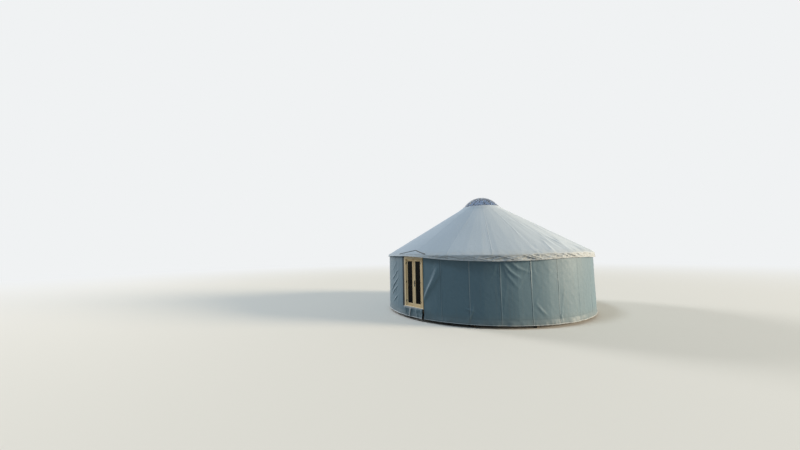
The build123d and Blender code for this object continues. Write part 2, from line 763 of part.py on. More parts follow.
pieces = {
    "stumps": stumps,
    "bearers": bearers,
    "joists": joists,
    "floor_deck": floor_deck,
    "rim_board": rim_board,
    "wall_cable": wall_cable,
    "rafters": rafters,
    "crown_ring": crown_ring,
    "crown_ribs": crown_ribs,
    "dome": dome,
    "roof_front": roof_front,
    "gable_flap": gable_flap,
    "apron": apron,
    "door_jamb_right": door_jamb_right,
    "door_jamb_left": door_jamb_left,
    "door_head": door_head,
    "door_sill": door_sill,
    "frame_hinges": frame_hinges,
    "leaf_right": leaf_right_bored,
    "leaf_left": leaf_left,
    "glass_right": glass_right,
    "glass_left": glass_left,
    "leaf_hinges_right": leaf_hinges_right,
    "leaf_hinges_left": leaf_hinges_left,
    "handle_plates": handle_plates,
    "handle": handle,
}
for name, piece in pieces.items():
    piece.part.label = name
    export_step(piece.part, f"parts/{name}.step")
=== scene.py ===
"""Round tent house on a raised timber platform, dressed for rendering.

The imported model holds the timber, glass and metal at their real size. This script gives
them their finishes, and puts a sheet with its seams, folds and hems in the place of every
cloth piece. Lengths are in metres. Angles round the tent are in degrees from the middle
of the door, which faces -Y, and grow towards +X.
"""

import logging
import math
from dataclasses import dataclass, field, replace
from enum import Enum

import bpy
import numpy as np
from mathutils import Matrix, Vector

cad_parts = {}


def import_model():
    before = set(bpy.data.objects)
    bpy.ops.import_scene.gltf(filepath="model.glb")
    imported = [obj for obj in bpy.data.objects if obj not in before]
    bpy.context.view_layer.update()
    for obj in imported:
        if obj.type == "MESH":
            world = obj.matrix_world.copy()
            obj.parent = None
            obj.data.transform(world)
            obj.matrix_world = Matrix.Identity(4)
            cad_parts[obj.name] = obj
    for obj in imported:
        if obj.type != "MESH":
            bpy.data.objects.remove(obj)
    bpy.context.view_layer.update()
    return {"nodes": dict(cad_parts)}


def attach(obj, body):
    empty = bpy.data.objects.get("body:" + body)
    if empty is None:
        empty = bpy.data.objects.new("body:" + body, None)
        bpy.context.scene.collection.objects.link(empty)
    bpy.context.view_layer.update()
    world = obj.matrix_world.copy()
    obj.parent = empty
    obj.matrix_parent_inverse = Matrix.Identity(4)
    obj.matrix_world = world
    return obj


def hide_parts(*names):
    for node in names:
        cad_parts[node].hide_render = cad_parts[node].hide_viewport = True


LOG = logging.getLogger("tent")
Array = np.ndarray
Part = tuple[Array, Array]
Span = tuple[float, float]
Mark = tuple[float, float, float]
Line = tuple[Span, ...]
Colour = tuple[float, float, float]
Material = bpy.types.Material
Piece = bpy.types.Object
Socket = bpy.types.NodeSocket
UPRIGHT = np.array([[0, 0, 1.0]])


def paint(*screen: int) -> Colour:
    """Linear colour of a paint chip: ((c + 0.055) / 1.055) ** 2.4 above 0.04045, and c / 12.92 below.

    Args:
        *screen: Red, green and blue as screen values from 0 to 255.

    Returns:
        The colour's linear red, green and blue, from 0 to 1.
    """
    chip = np.array(screen) / 255
    return tuple(np.where(chip > 0.04045, ((chip + 0.055) / 1.055) ** 2.4, chip / 12.92).tolist())


def dimmed(colour: Colour, share: float) -> Colour:
    """A colour with only a share of its brightness."""
    return tuple(c * share for c in colour)


# Shared sizes and shapes


@dataclass(frozen=True)
class TentPlan:
    """Sizes that several pieces share."""

    wall_r: float = 4.915
    wall_base_r: float = 4.920
    wall_top: float = 2.664
    floor_z: float = 0.500
    skirt_crease: float = 0.332
    skirt_bottom: float = 0.120
    skirt_flare: float = 0.012
    eave_r: float = 4.950
    eave_z: float = 2.7299
    slope: float = math.radians(30.6)
    flare_r: float = 1.220
    ring_lip_r: float = 0.9343
    ring_top: float = 5.1426
    cover_inner_r: float = 0.905
    first_seam: float = 16.84
    seam_pitch: float = 13.05
    gore: float = 20.0
    rafter_pitch: float = 7.2
    joint: float = 0.00005
    light: tuple[float, float, float, float] = (0.092, 0.411, 0.660, 2.452)

    def cone_z(self, radius: Array) -> Array:
        """Height of the straight roof cone at a radius."""
        return self.eave_z + (self.eave_r - radius) * math.tan(self.slope)

    def seam_angles(self) -> Array:
        """Angles of all the wall's seams, right of the door and then left."""
        right = self.first_seam + self.seam_pitch * np.arange(13)
        return np.concatenate([right, 360 - right])


PLAN = TentPlan()


def around(angle: Array, radius: Array, height: Array) -> Array:
    """Points round the tent: (r sin a, -r cos a, z).

    Args:
        angle: Angles from the door in degrees.
        radius: Distances from the tent's middle line.
        height: Heights above the ground.

    Returns:
        An array with a last axis of x, y and z.
    """
    turn = np.radians(angle)
    return np.stack([radius * np.sin(turn), -radius * np.cos(turn), height + 0 * radius], -1)


def signed(angle: Array) -> Array:
    """The same angle between -180 and 180 degrees."""
    return (angle + 180) % 360 - 180


def smooth(x: Array, low: float, high: float) -> Array:
    """0 below low, 1 above high, and the cubic 3t^2 - 2t^3 between them."""
    t = np.clip((x - low) / (high - low), 0, 1)
    return t * t * (3 - 2 * t)


def bell(x: Array, width: float) -> Array:
    """Bell curve exp(-(x / width)^2)."""
    return np.exp(-((x / width) ** 2))


def arch(share: Array) -> Array:
    """Full arch sin(pi t)^0.6, steep at both ends."""
    return np.sin(math.pi * share) ** 0.6


def unit(vectors: Array) -> Array:
    """Each vector brought to length 1."""
    return vectors / np.maximum(np.linalg.norm(vectors, axis=-1, keepdims=True), 1e-12)


def tapered(count: int, length: float, least: float) -> Array:
    """A column of widths along a path: `least` at its ends and 1 from `length` steps in."""
    step = np.arange(count)
    return np.clip(np.minimum(step, step[::-1]) / length, least, 1)[:, None]


@dataclass(frozen=True)
class Wave:
    """Random waves on a cloth, the same ones for the same seed."""

    height: float
    seed: int
    shortest: float
    longest: float
    count: int = 12
    swing: float = 1.6

    def swell(self, u: Array, v: Array) -> Array:
        """Soft swell: h times the mean of `count` sines of random direction, length and phase.

        Args:
            u: Places along the cloth, in metres.
            v: Places up the cloth, in metres.

        Returns:
            Lifts of about -h to h, in the shape of u and v.
        """
        rng = np.random.default_rng(self.seed)
        ways = rng.uniform(0, math.pi, self.count)
        lengths = rng.uniform(self.shortest, self.longest, self.count)
        phases = rng.uniform(0, 2 * math.pi, self.count)
        total = np.zeros(np.broadcast(u, v).shape)
        for way, length, phase in zip(ways, lengths, phases):
            total += np.sin(2 * math.pi / length * (u * math.cos(way) + v * math.sin(way)) + phase)
        return self.height * (total / math.sqrt(self.count / 2) / self.swing)

    def crests(self, u: Array, v: Array) -> Array:
        """Sharp crests h (1 - |s|)^3: thin ridges where the unit swell s crosses nought."""
        swell = replace(self, height=1.0).swell(u, v)
        return self.height * (1 - np.minimum(np.abs(swell), 1)) ** 3


@dataclass(frozen=True)
class Crease:
    """One fold of a cloth: a ridge along a line of (angle, height) points."""

    line: Line
    height: float
    width: float
    lean: float = 0.0
    taper: float = 0.0

    def lift(self, along: Array, up: Array, radius: float) -> Array:
        """Height of the ridge: h * bell(d / w) * sin(pi t)^0.6.

        d is the distance to the line and t how far along it the nearest point is. The
        ridge is wider on one side where it leans, and widens along the line where it tapers.

        Args:
            along: Places along the cloth, in metres.
            up: Places up the cloth, in metres.
            radius: Radius that turns the line's angles into metres.

        Returns:
            The lift of each place, in metres.
        """
        points = np.array([(math.radians(a) * radius, z) for a, z in self.line])
        steps = np.linalg.norm(np.diff(points, axis=0), axis=1)
        nearest = np.full(along.shape, np.inf)
        share, side, done = np.zeros(along.shape), np.ones(along.shape), 0.0
        for start, end, step in zip(points[:-1], points[1:], steps):
            way = (end - start) / step
            du, dv = along - start[0], up - start[1]
            t = np.clip(du * way[0] + dv * way[1], 0, step)
            gap = np.hypot(du - t * way[0], dv - t * way[1])
            near = gap < nearest
            nearest = np.where(near, gap, nearest)
            share = np.where(near, (done + t) / steps.sum(), share)
            side = np.where(near, np.sign(du * way[1] - dv * way[0]), side)
            done += step
        width = self.width * (1 + self.lean * side) * (1 + self.taper * (2 * share - 1))
        return self.height * bell(nearest, width) * arch(np.clip(share, 0.02, 0.98))


# Meshes


def placed(name: str, data: bpy.types.ID) -> Piece:
    """A new object of the scene, at the origin, that holds some data.

    Args:
        name: The object's name.
        data: Its mesh, camera or lamp.

    Returns:
        The object.
    """
    piece = bpy.data.objects.new(name, data)
    bpy.context.scene.collection.objects.link(piece)
    return piece


def put_mesh(
    name: str, points: Array, quads: Array, uv: Array | None = None, flat: Array | None = None
) -> Piece:
    """Makes an object of four-sided faces from arrays.

    Args:
        name: The piece's name.
        points: Vertices, one row each.
        quads: Vertex numbers of each face, anticlockwise seen from outside.
        uv: Places on the cloth for each vertex, in metres, if it has them.
        flat: True for each face that is shaded flat.

    Returns:
        The object, at the origin.
    """
    mesh = bpy.data.meshes.new(name)
    mesh.vertices.add(len(points))
    mesh.vertices.foreach_set("co", np.ascontiguousarray(points, np.float32).ravel())
    mesh.loops.add(quads.size)
    mesh.loops.foreach_set("vertex_index", np.ascontiguousarray(quads, np.int32).ravel())
    mesh.polygons.add(len(quads))
    mesh.polygons.foreach_set("loop_start", np.arange(len(quads), dtype=np.int32) * 4)
    mesh.update(calc_edges=True)
    mesh.polygons.foreach_set("use_smooth", np.ones(len(quads), bool) if flat is None else ~flat)
    if uv is not None:
        layer = mesh.uv_layers.new(name="cloth")
        layer.uv.foreach_set("vector", np.ascontiguousarray(uv[quads.ravel()], np.float32).ravel())
    mesh.validate(clean_customdata=False)
    mesh.update()
    return placed(name, mesh)


def grid_quads(rows: int, columns: int, start: int = 0) -> Array:
    """Faces of a grid of rows by columns vertices, numbered row by row from start."""
    k = start + np.arange(rows * columns).reshape(rows, columns)
    return np.stack([k[:-1, :-1], k[1:, :-1], k[1:, 1:], k[:-1, 1:]], -1).reshape(-1, 4)


def normals_of(surface: Array) -> Array:
    """Unit normals of a grid surface: the cross product of its two slopes."""
    return unit(np.cross(np.gradient(surface, axis=0), np.gradient(surface, axis=1)))


def sheet_shell(name: str, face: Array, uv: Array, thickness: float) -> Piece:
    """Closed cloth of even thickness: P(u, v) outside, P - t N inside, and four rims.

    Args:
        name: The piece's name.
        face: Outer surface as a grid of points, rows going round and columns going up.
        uv: Places on the cloth for each point of the grid, in metres.
        thickness: Thickness of the cloth.

    Returns:
        The cloth as an object.
    """
    rows, columns = face.shape[:2]
    count = rows * columns
    inner = face - thickness * normals_of(face)
    points = np.concatenate([face.reshape(-1, 3), inner.reshape(-1, 3)])
    k = np.arange(count).reshape(rows, columns)
    rims = []
    for edge, way in ((k[:, 0], 1), (k[-1], 1), (k[:, -1], -1), (k[0], -1)):
        a, b = (edge[:-1], edge[1:])[::way]
        rims.append(np.stack([b, a, a + count, b + count], -1))
    rim = np.concatenate(rims)
    quads = np.concatenate([grid_quads(rows, columns), grid_quads(rows, columns, count)[:, ::-1], rim])
    flat = np.arange(len(quads)) >= len(quads) - len(rim)
    return put_mesh(name, points, quads, np.concatenate([uv.reshape(-1, 2)] * 2), flat)


def tube_quads(count: int, sides: int) -> Array:
    """Faces of a tube of `count` rings, and a strip of faces across each end.

    Args:
        count: How many rings the tube has.
        sides: How many points each ring has, an even number, anticlockwise along the tube.

    Returns:
        Vertex numbers of the faces.
    """
    k = np.arange(count * sides).reshape(count, sides)
    onward = np.roll(k, -1, axis=1)
    quads = np.stack([k[:-1], onward[:-1], onward[1:], k[1:]], -1).reshape(-1, 4)
    there, back = np.arange(sides // 2), np.arange(sides - 1, sides // 2 - 1, -1)
    cap = np.stack([there[:-1], there[1:], back[1:], back[:-1]], -1)
    return np.concatenate([quads, cap[:, ::-1], cap + (count - 1) * sides])


def circle(sides: int) -> tuple[Array, Array]:
    """Cosines and sines of a ring of points, as columns."""
    turn = np.arange(sides)[:, None] * 2 * math.pi / sides
    return np.cos(turn), np.sin(turn)


def carried(path: Array, above: Array, half: Array, sides: int = 12) -> Part:
    """An oval carried along a path: P(t, a) = c(t) + p(t) s cos a + q(t) n sin a.

    Args:
        path: Middle points c(t).
        above: Unit vectors n, one for each point or one for all.
        half: Half widths p and half heights q, one row for each point.
        sides: How many points go round the oval.

    Returns:
        The points and the faces.
    """
    cos, sin = circle(sides)
    above = above + 0 * path
    side = unit(np.cross(above, unit(np.gradient(path, axis=0))))
    across = half[:, None, :1] * side[:, None] * cos
    up = half[:, None, 1:] * above[:, None] * sin
    return (path[:, None] + across + up).reshape(-1, 3), tube_quads(len(path), sides)


def studs(places: Array, axes: Array, profile: Array, sides: int = 12) -> Part:
    """Turned heads in many places: P(k, t, a) = c_k + h(t) n_k + r(t)(e_k cos a + f_k sin a).

    Args:
        places: Middle point of each head's foot.
        axes: The way each head points.
        profile: Rows of (radius, height), from the foot to the top.
        sides: How many sides each head has.

    Returns:
        The points and the faces of all the heads.
    """
    cos, sin = circle(sides)
    axes = unit(axes + 0 * places)
    level = np.where(np.abs(axes[:, 2:]) < 0.9, UPRIGHT, [[1.0, 0, 0]])
    e = unit(np.cross(level, axes))
    spokes = e[:, None] * cos + np.cross(axes, e)[:, None] * sin
    rings = places[:, None, None] + profile[:, None, 1:] * axes[:, None, None]
    rings = rings + profile[:, None, :1] * spokes[:, None]
    starts = np.arange(len(places)) * len(profile) * sides
    quads = tube_quads(len(profile), sides) + starts[:, None, None]
    return rings.reshape(-1, 3), quads.reshape(-1, 4)


def gathered(name: str, parts: list[Part], flat: bool = False) -> Piece:
    """One object from the points and faces of several closed surfaces.

    Args:
        name: The piece's name.
        parts: Points and faces of each surface.
        flat: True to shade the faces flat.

    Returns:
        The object.
    """
    starts = np.cumsum([0] + [len(points) for points, _ in parts[:-1]])
    points = np.concatenate([points for points, _ in parts])
    quads = np.concatenate([quads + start for (_, quads), start in zip(parts, starts)])
    return put_mesh(name, points, quads, flat=np.full(len(quads), flat))


def spaced(start: float, end: float, step: float, marks: Array, offsets: Array) -> Array:
    """Places from start to end about a step apart, with more of them close to each mark.

    Args:
        start: First place.
        end: Last place.
        step: Usual distance between places.
        marks: Where more places are wanted.
        offsets: Where they lie about each mark.

    Returns:
        The places in order.
    """
    even = np.linspace(start, end, max(2, round(abs(end - start) / step)) + 1)
    extra = (marks[:, None] + offsets).ravel()
    extra = extra[(extra > start) & (extra < end)]
    if len(extra):
        crowd = np.abs(even[:, None] - extra).min(1) < 0.4 * np.diff(offsets).min()
        crowd[[0, -1]] = False
        even = even[~crowd]
    return np.unique(np.round(np.concatenate([even, extra]), 6))


def both_sides(*steps: float) -> Array:
    """Offsets to both sides of a mark and on it, in order."""
    return np.array([-x for x in steps[::-1]] + [0.0, *steps])


def hand_in(piece: Piece, body: str, finish: Material) -> None:
    """Dresses a new piece and lets it ride on its body.

    Args:
        piece: The new object.
        body: The body that it moves with.
        finish: Its material.
    """
    piece.data.materials.clear()
    piece.data.materials.append(finish)
    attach(piece, body)
    LOG.info("%s: %d faces on %s", piece.name, len(piece.data.polygons), body)


# Finishes


class Nodes:
    """A small bench for the nodes of one material, or of the world."""

    def __init__(self, name: str, world: bool = False) -> None:
        """Starts with one Principled shader, or with the world's plain background.

        Args:
            name: The material's or the world's name.
            world: True for a world.
        """
        self.owner = (bpy.data.worlds if world else bpy.data.materials).new(name)
        self.owner.use_nodes = True
        self.tree = self.owner.node_tree
        self.shader = self.tree.nodes["Background" if world else "Principled BSDF"]

    def add(self, kind: str, inputs: dict | None = None, **settings: object) -> bpy.types.Node:
        """Adds a node.

        Args:
            kind: The node's type name, without its prefix.
            inputs: Values or sockets for its inputs, by name or number.
            **settings: Values for the node's own properties.

        Returns:
            The node.
        """
        node = self.tree.nodes.new("ShaderNode" + kind)
        for key, value in settings.items():
            setattr(node, key, value)
        for key, value in (inputs or {}).items():
            self.give(node.inputs[key], value)
        return node

    def give(self, socket: Socket, value: object) -> None:
        """Links a socket or sets a value.

        Args:
            socket: The input.
            value: The socket to link, or the value to set.
        """
        if isinstance(value, Socket):
            self.tree.links.new(value, socket)
        else:
            socket.default_value = (*value, 1.0) if socket.type == "RGBA" else value

    def finish(self, **inputs: object) -> Material:
        """Gives the shader its inputs, with _ for spaces in their names, and returns the material."""
        for key, value in inputs.items():
            self.give(self.shader.inputs[key.replace("_", " ")], value)
        return self.owner

    def place(self) -> Socket:
        """The point's place in the tent's own frame."""
        return self.add("TexCoord").outputs["Object"]

    def cloth(self) -> Socket:
        """The point's place on the cloth."""
        return self.add("UVMap", uv_map="cloth").outputs["UV"]

    def axes(self, place: Socket) -> tuple[Socket, ...]:
        """The three parts of a place."""
        return tuple(self.add("SeparateXYZ", {"Vector": place}).outputs)

    def stretch(self, place: Socket, scale: Mark) -> Socket:
        """The place with each axis multiplied."""
        return self.add("Mapping", {"Vector": place, "Scale": scale}).outputs["Vector"]

    def noise(self, place: Socket, scale: float, detail: float = 3, rough: float = 0.5) -> Socket:
        """Cloudy noise from 0 to 1."""
        inputs = {"Vector": place, "Scale": scale, "Detail": detail, "Roughness": rough}
        return self.add("TexNoise", inputs).outputs["Fac"]

    def sum(self, kind: str, a: object, b: object = 0.0) -> Socket:
        """One step of arithmetic on two values."""
        return self.add("Math", {0: a, 1: b}, operation=kind).outputs["Value"]

    def times(self, a: object, b: object) -> Socket:
        """One value times another."""
        return self.sum("MULTIPLY", a, b)

    def away(self, value: Socket, mark: float) -> Socket:
        """How far a value is from a mark."""
        return self.sum("ABSOLUTE", self.sum("SUBTRACT", value, mark))

    def reach(self, x: Socket, y: Socket) -> Socket:
        """Distance sqrt(x^2 + y^2) from the tent's middle line."""
        return self.sum("SQRT", self.sum("ADD", self.times(x, x), self.times(y, y)))

    def chance(self, value: Socket) -> Socket:
        """A random value from 0 to 1 for each whole number that a value passes."""
        whole = {"W": self.sum("FLOOR", value)}
        return self.add("TexWhiteNoise", whole, noise_dimensions="1D").outputs["Value"]

    def band(self, value: Socket, low: float, high: float, start: float = 0, end: float = 1) -> Socket:
        """Smooth step of a value from low to high, as start to end."""
        inputs = {"Value": value, "From Min": low, "From Max": high, "To Min": start, "To Max": end}
        return self.add("MapRange", inputs, interpolation_type="SMOOTHSTEP").outputs["Result"]

    def line(self, value: Socket, mark: Mark, amount: float = 1) -> Socket:
        """A line at a mark's place, which fades between the mark's two distances from it."""
        place, inner, outer = mark
        return self.band(self.away(value, place), inner, outer, amount, 0)

    def mix(self, share: object, a: object, b: object, kind: str = "MIX") -> Socket:
        """Colour a mixed with colour b."""
        inputs = {"Factor": share, 6: a, 7: b}
        return self.add("Mix", inputs, data_type="RGBA", blend_type=kind).outputs[2]

    def bump(self, height: Socket, strength: float, depth: float, onto: Socket | None = None) -> Socket:
        """Bump of that depth in metres, on top of another one if given.

        Args:
            height: What raises the surface.
            strength: How much of the bump shows.
            depth: The bump's depth in metres.
            onto: The bump that it lies on, if any.

        Returns:
            The normal.
        """
        inputs = {"Height": height, "Strength": strength, "Distance": depth}
        if onto is not None:
            inputs["Normal"] = onto
        return self.add("Bump", inputs).outputs["Normal"]

    def seen(self) -> Socket:
        """1 for what the camera, gloss or glass sees, and 0 for light that bounces on.

        Returns:
            A socket that is 1 or 0.
        """
        path = self.add("LightPath").outputs
        first = self.sum("MAXIMUM", path["Is Camera Ray"], path["Is Glossy Ray"])
        return self.sum("MAXIMUM", first, path["Is Transmission Ray"])

    def blend(self, share: Socket, a: bpy.types.Node, b: bpy.types.Node, out: str) -> None:
        """Sends shader a, turning into shader b by a share, to an output node."""
        both = self.add("MixShader", {"Fac": share, 1: a.outputs[0], 2: b.outputs[0]})
        self.give(self.tree.nodes[out].inputs["Surface"], both.outputs[0])


@dataclass(frozen=True)
class CoatedCloth:
    """Coated tent cloth: woven, slightly glossy, dusty towards its foot."""

    name: str
    colour: Colour
    shade: Colour
    dust: Colour = paint(122, 114, 98)
    dust_low: float = 0.12
    dust_high: float = 0.55
    dust_amount: float = 0.45
    seam_first: float = 0.0
    seam_step: float = 1.0
    # Painted highlight beside each seam and painted shade in its groove: their strengths, colour and places.
    seam_highlight: float = 0.22
    seam_groove_shade: float = 0.30
    seam_far: float = 0.0
    seam_highlight_colour: Colour = (0.75, 0.78, 0.8)
    seam_tint: float = 0.35
    crest_highlight: Mark = (0.020, 0.003, 0.012)
    groove: Mark = (-0.004, 0.003, 0.014)
    weld: Mark = (0.024, 0.0, 0.003)
    fade_scale: Mark = (1.3, 0.42, 1)
    hem: float = 0.0
    hem_highlight: float = 0.38
    hem_highlight_colour: Colour = (0.52, 0.57, 0.60)
    stitch: Mark = (0.018, 0.004, 0.012)
    panel_tone: float = 0.0
    streak: float = 0.25
    streak_scale: Mark = (9.0, 0.5, 1)
    grime_scale: Mark = (3.0, 1.2, 1)
    mottle: float = 0.18
    roughness: float = 0.52
    gloss: float = 0.30
    weave: float = 0.0012
    cloud_noise: tuple[float, ...] = (0.35, 2)
    cloud_band: tuple[float, ...] = (0.3, 0.7, 0, 0.6)
    blotch_noise: tuple[float, ...] = (7.0, 5, 0.6)
    blotch_band: Span = (0.3, 0.75)
    streak_noise: tuple[float, ...] = (1.0, 4, 0.55)
    streak_band: Span = (0.5, 0.8)
    grime_noise: tuple[float, ...] = (2.2, 6, 0.62)
    grime_band: Mark = (0.3, 0.72, 0.15)
    fade_noise: tuple[float, ...] = (1.0, 2)
    crest_highlight_fade: tuple[float, ...] = (0.40, 0.60, 0.10, 1.4)
    groove_shade_fade: tuple[float, ...] = (0.40, 0.62, 1.5, 0.5)
    far_fade: Span = (0.6, 0.35)
    hem_fade: float = 0.006
    stitch_shade: float = 0.5
    stitch_tint: float = 0.3
    dent_noise: tuple[float, ...] = (16.0, 3, 0.45)
    dent_bump: Span = (0.5, 0.003)
    weave_bump: Span = (0.25, 0.0006)
    sheen: Span = (0.08, 0.6)

    def seams(self, n: Nodes, cloth: Socket, colour: Socket) -> Socket:
        """Tone of each panel, each seam's painted highlight beside it and painted shade in its groove, and
        its welded edges.

        Args:
            n: The material's nodes.
            cloth: The place on the cloth.
            colour: The cloth's colour so far.

        Returns:
            The colour with its seams' painted highlights and shade, which fade in and out along their length.
        """
        across = n.axes(cloth)[0]
        panel = n.sum("DIVIDE", n.sum("SUBTRACT", across, self.seam_first), self.seam_step)
        colour = n.mix(n.times(n.chance(panel), self.panel_tone), colour, self.shade)
        aside = n.times(n.sum("SUBTRACT", panel, n.sum("ROUND", panel)), self.seam_step)
        # Painted highlight where a seam's ridge catches the light, and painted shade in its groove.
        crest_highlight, groove = n.line(aside, self.crest_highlight), n.line(aside, self.groove)
        weld = n.line(n.sum("ABSOLUTE", aside), self.weld)
        fade = n.noise(n.stretch(cloth, self.fade_scale), *self.fade_noise)
        crest_highlight = n.times(crest_highlight, n.band(fade, *self.crest_highlight_fade))
        groove = n.times(groove, n.band(fade, *self.groove_shade_fade))
        if self.seam_far > 0:
            length, least = self.far_fade
            near = n.band(across, self.seam_far, self.seam_far + length, 1.0, least)
            crest_highlight, groove = n.times(crest_highlight, near), n.times(groove, near)
        colour = n.mix(n.times(crest_highlight, self.seam_highlight), colour, self.seam_highlight_colour)
        colour = n.mix(n.times(groove, self.seam_groove_shade), colour, dimmed(self.shade, self.seam_tint))
        return n.mix(n.times(weld, self.seam_tint), colour, self.shade, "MULTIPLY")

    def foot(self, n: Nodes, cloth: Socket, colour: Socket) -> Socket:
        """Dust that grows towards the foot, and on a hem a painted highlight along its lit edge and a line of
        stitches.

        Args:
            n: The material's nodes.
            cloth: The place on the cloth.
            colour: The cloth's colour so far.

        Returns:
            The colour with its dust, the hem's painted highlight and its stitches.
        """
        height = n.axes(n.place())[2]
        low = n.band(height, self.dust_low, self.dust_high, 1, 0)
        grime = n.noise(n.stretch(cloth, self.grime_scale), *self.grime_noise)
        dusty = n.times(low, n.band(grime, *self.grime_band, self.dust_amount))
        colour = n.mix(dusty, colour, self.dust)
        if self.hem > 0:
            # Painted highlight: the hem's lit edge is drawn paler.
            edge = n.band(height, self.hem, self.hem + self.hem_fade, self.hem_highlight, 0)
            colour = n.mix(edge, colour, self.hem_highlight_colour)
            row, inner, outer = self.stitch
            stitch = n.line(height, (self.hem + row, inner, outer), self.stitch_shade)
            colour = n.mix(stitch, colour, dimmed(self.shade, self.stitch_tint))
        return colour

    def build(self) -> Material:
        """Mottled colour, streaks down the cloth, seams, dust and weave.

        Returns:
            The material.
        """
        n = Nodes(self.name)
        cloth = n.cloth()
        clouds, mottle = n.noise(cloth, *self.cloud_noise), n.noise(cloth, *self.blotch_noise)
        streaks = n.noise(n.stretch(cloth, self.streak_scale), *self.streak_noise)
        colour = n.mix(n.band(clouds, *self.cloud_band), self.colour, self.shade)
        colour = n.mix(n.band(mottle, *self.blotch_band, 0, self.mottle), colour, self.shade)
        colour = n.mix(n.band(streaks, *self.streak_band, 0, self.streak), colour, self.dust)
        colour = self.foot(n, cloth, self.seams(n, cloth, colour))
        wave = {"Vector": cloth, "Scale": 0.31 / self.weave, "Distortion": 1.5, "Detail": 1.0}
        threads = [n.add("TexWave", wave, bands_direction=way).outputs["Fac"] for way in "XY"]
        weave = n.bump(n.times(*threads), *self.weave_bump)
        return n.finish(
            Base_Color=colour,
            Roughness=n.band(mottle, 0.25, 0.8, self.roughness - 0.06, self.roughness + 0.1),
            Normal=n.bump(n.noise(cloth, *self.dent_noise), *self.dent_bump, weave),
            Specular_IOR_Level=self.gloss,
            Sheen_Weight=self.sheen[0],
            Sheen_Roughness=self.sheen[1],
        )


class Grain(Enum):
    """Which way the grain runs: its pattern's scale, and True where that goes round, out and up."""

    ALONG_X = (0.06, 1.0, 1.0), False
    ALONG_Y = (1.0, 0.06, 1.0), False
    ALONG_Z = (1.0, 1.0, 0.06), False
    OUTWARD = (3.0, 0.06, 0.2), True
    ROUND = (0.06, 1.0, 1.0), True


@dataclass(frozen=True)
class Timber:
    """Sawn timber with growth rings, pores and a few knots."""

    name: str
    pale: Colour
    dark: Colour
    grain: Grain = Grain.ALONG_Z
    ring: float = 34.0
    knots: float = 0.5
    roughness: float = 0.55
    bend_r: float = 4.9
    boards: float = 0.0
    light: tuple[float, float, float, float] | None = None
    ring_detail: Span = (4, 0.6)
    ring_band: Span = (0.35, 0.78)
    pore_noise: tuple[float, ...] = (260.0, 2, 0.6)
    pore_band: tuple[float, ...] = (0.5, 0.85, 0, 0.30)
    cloud_noise: tuple[float, ...] = (5.0, 2)
    knot_scale: float = 2.3
    knot_band: Span = (0.03, 0.085)
    grain_bump: Span = (0.35, 0.0012)
    board_gap: float = 0.004
    board_tone: float = 0.35
    gap_bump: Span = (0.8, -0.003)
    joint_edge: Span = (0.0003, 0.0014)
    joint_shade: float = 0.8
    joint_bump: Span = (0.8, -0.001)

    def lay(self, n: Nodes) -> Socket:
        """The place with the grain's direction drawn out, for straight, radial or bent pieces.

        Args:
            n: The material's nodes.

        Returns:
            The place on which the grain's pattern is laid.
        """
        place = n.place()
        scale, bent = self.grain.value
        if bent:
            x, y, z = n.axes(place)
            turn = n.times(n.sum("ARCTAN2", x, y), self.bend_r)
            place = n.add("CombineXYZ", {"X": turn, "Y": n.reach(x, y), "Z": z}).outputs["Vector"]
        laid = n.stretch(place, scale)
        if self.light is None:
            return laid
        return n.mix(self.rails(n)[0], laid, n.stretch(place, Grain.ALONG_X.value[0]))

    def rails(self, n: Nodes) -> tuple[Socket, Socket]:
        """1 on the rails above and below a leaf's light, and 1 on the joints at their ends.

        Args:
            n: The material's nodes.

        Returns:
            The rails' share and the joints' share.
        """
        x, _, z = n.axes(n.place())
        x = n.sum("ABSOLUTE", x)
        near, far, low, high = self.light
        between = n.times(n.sum("GREATER_THAN", x, near), n.sum("LESS_THAN", x, far))
        outside = n.sum("MAXIMUM", n.sum("LESS_THAN", z, low), n.sum("GREATER_THAN", z, high))
        edge = n.sum("MINIMUM", n.away(x, near), n.away(x, far))
        return n.times(between, outside), n.times(n.band(edge, *self.joint_edge, 1, 0), outside)

    def build(self) -> Material:
        """Rings bent by noise, fine pores, dark knots, and board joints where it has boards.

        Returns:
            The material.
        """
        n = Nodes(self.name)
        laid = self.lay(n)
        rings, pores = n.noise(laid, self.ring, *self.ring_detail), n.noise(laid, *self.pore_noise)
        wide = n.sum("ADD", n.times(n.noise(laid, *self.cloud_noise), 0.6), n.times(rings, 0.5))
        colour = n.mix(n.band(wide, *self.ring_band), self.pale, self.dark)
        colour = n.mix(n.band(pores, *self.pore_band), colour, self.dark, "MULTIPLY")
        spots = n.add("TexVoronoi", {"Vector": laid, "Scale": self.knot_scale}).outputs["Distance"]
        colour = n.mix(n.band(spots, *self.knot_band, self.knots, 0), colour, dimmed(self.dark, 0.35))
        normal = n.bump(n.sum("ADD", rings, n.times(pores, 0.5)), *self.grain_bump)
        if self.boards > 0:
            y = n.axes(n.place())[1]
            gap = n.band(n.sum("PINGPONG", y, self.boards / 2), 0.0, self.board_gap, 1, 0)
            board = n.chance(n.sum("DIVIDE", y, self.boards))
            colour = n.mix(n.times(board, self.board_tone), colour, self.dark, "MULTIPLY")
            colour = n.mix(gap, colour, dimmed(self.dark, 0.1))
            normal = n.bump(gap, *self.gap_bump, normal)
        if self.light is not None:
            joint = self.rails(n)[1]
            colour = n.mix(n.times(joint, self.joint_shade), colour, dimmed(self.dark, 0.2))
            normal = n.bump(joint, *self.joint_bump, normal)
        rough = n.band(rings, 0.2, 0.9, self.roughness, self.roughness + 0.12)
        return n.finish(Base_Color=colour, Roughness=rough, Normal=normal)


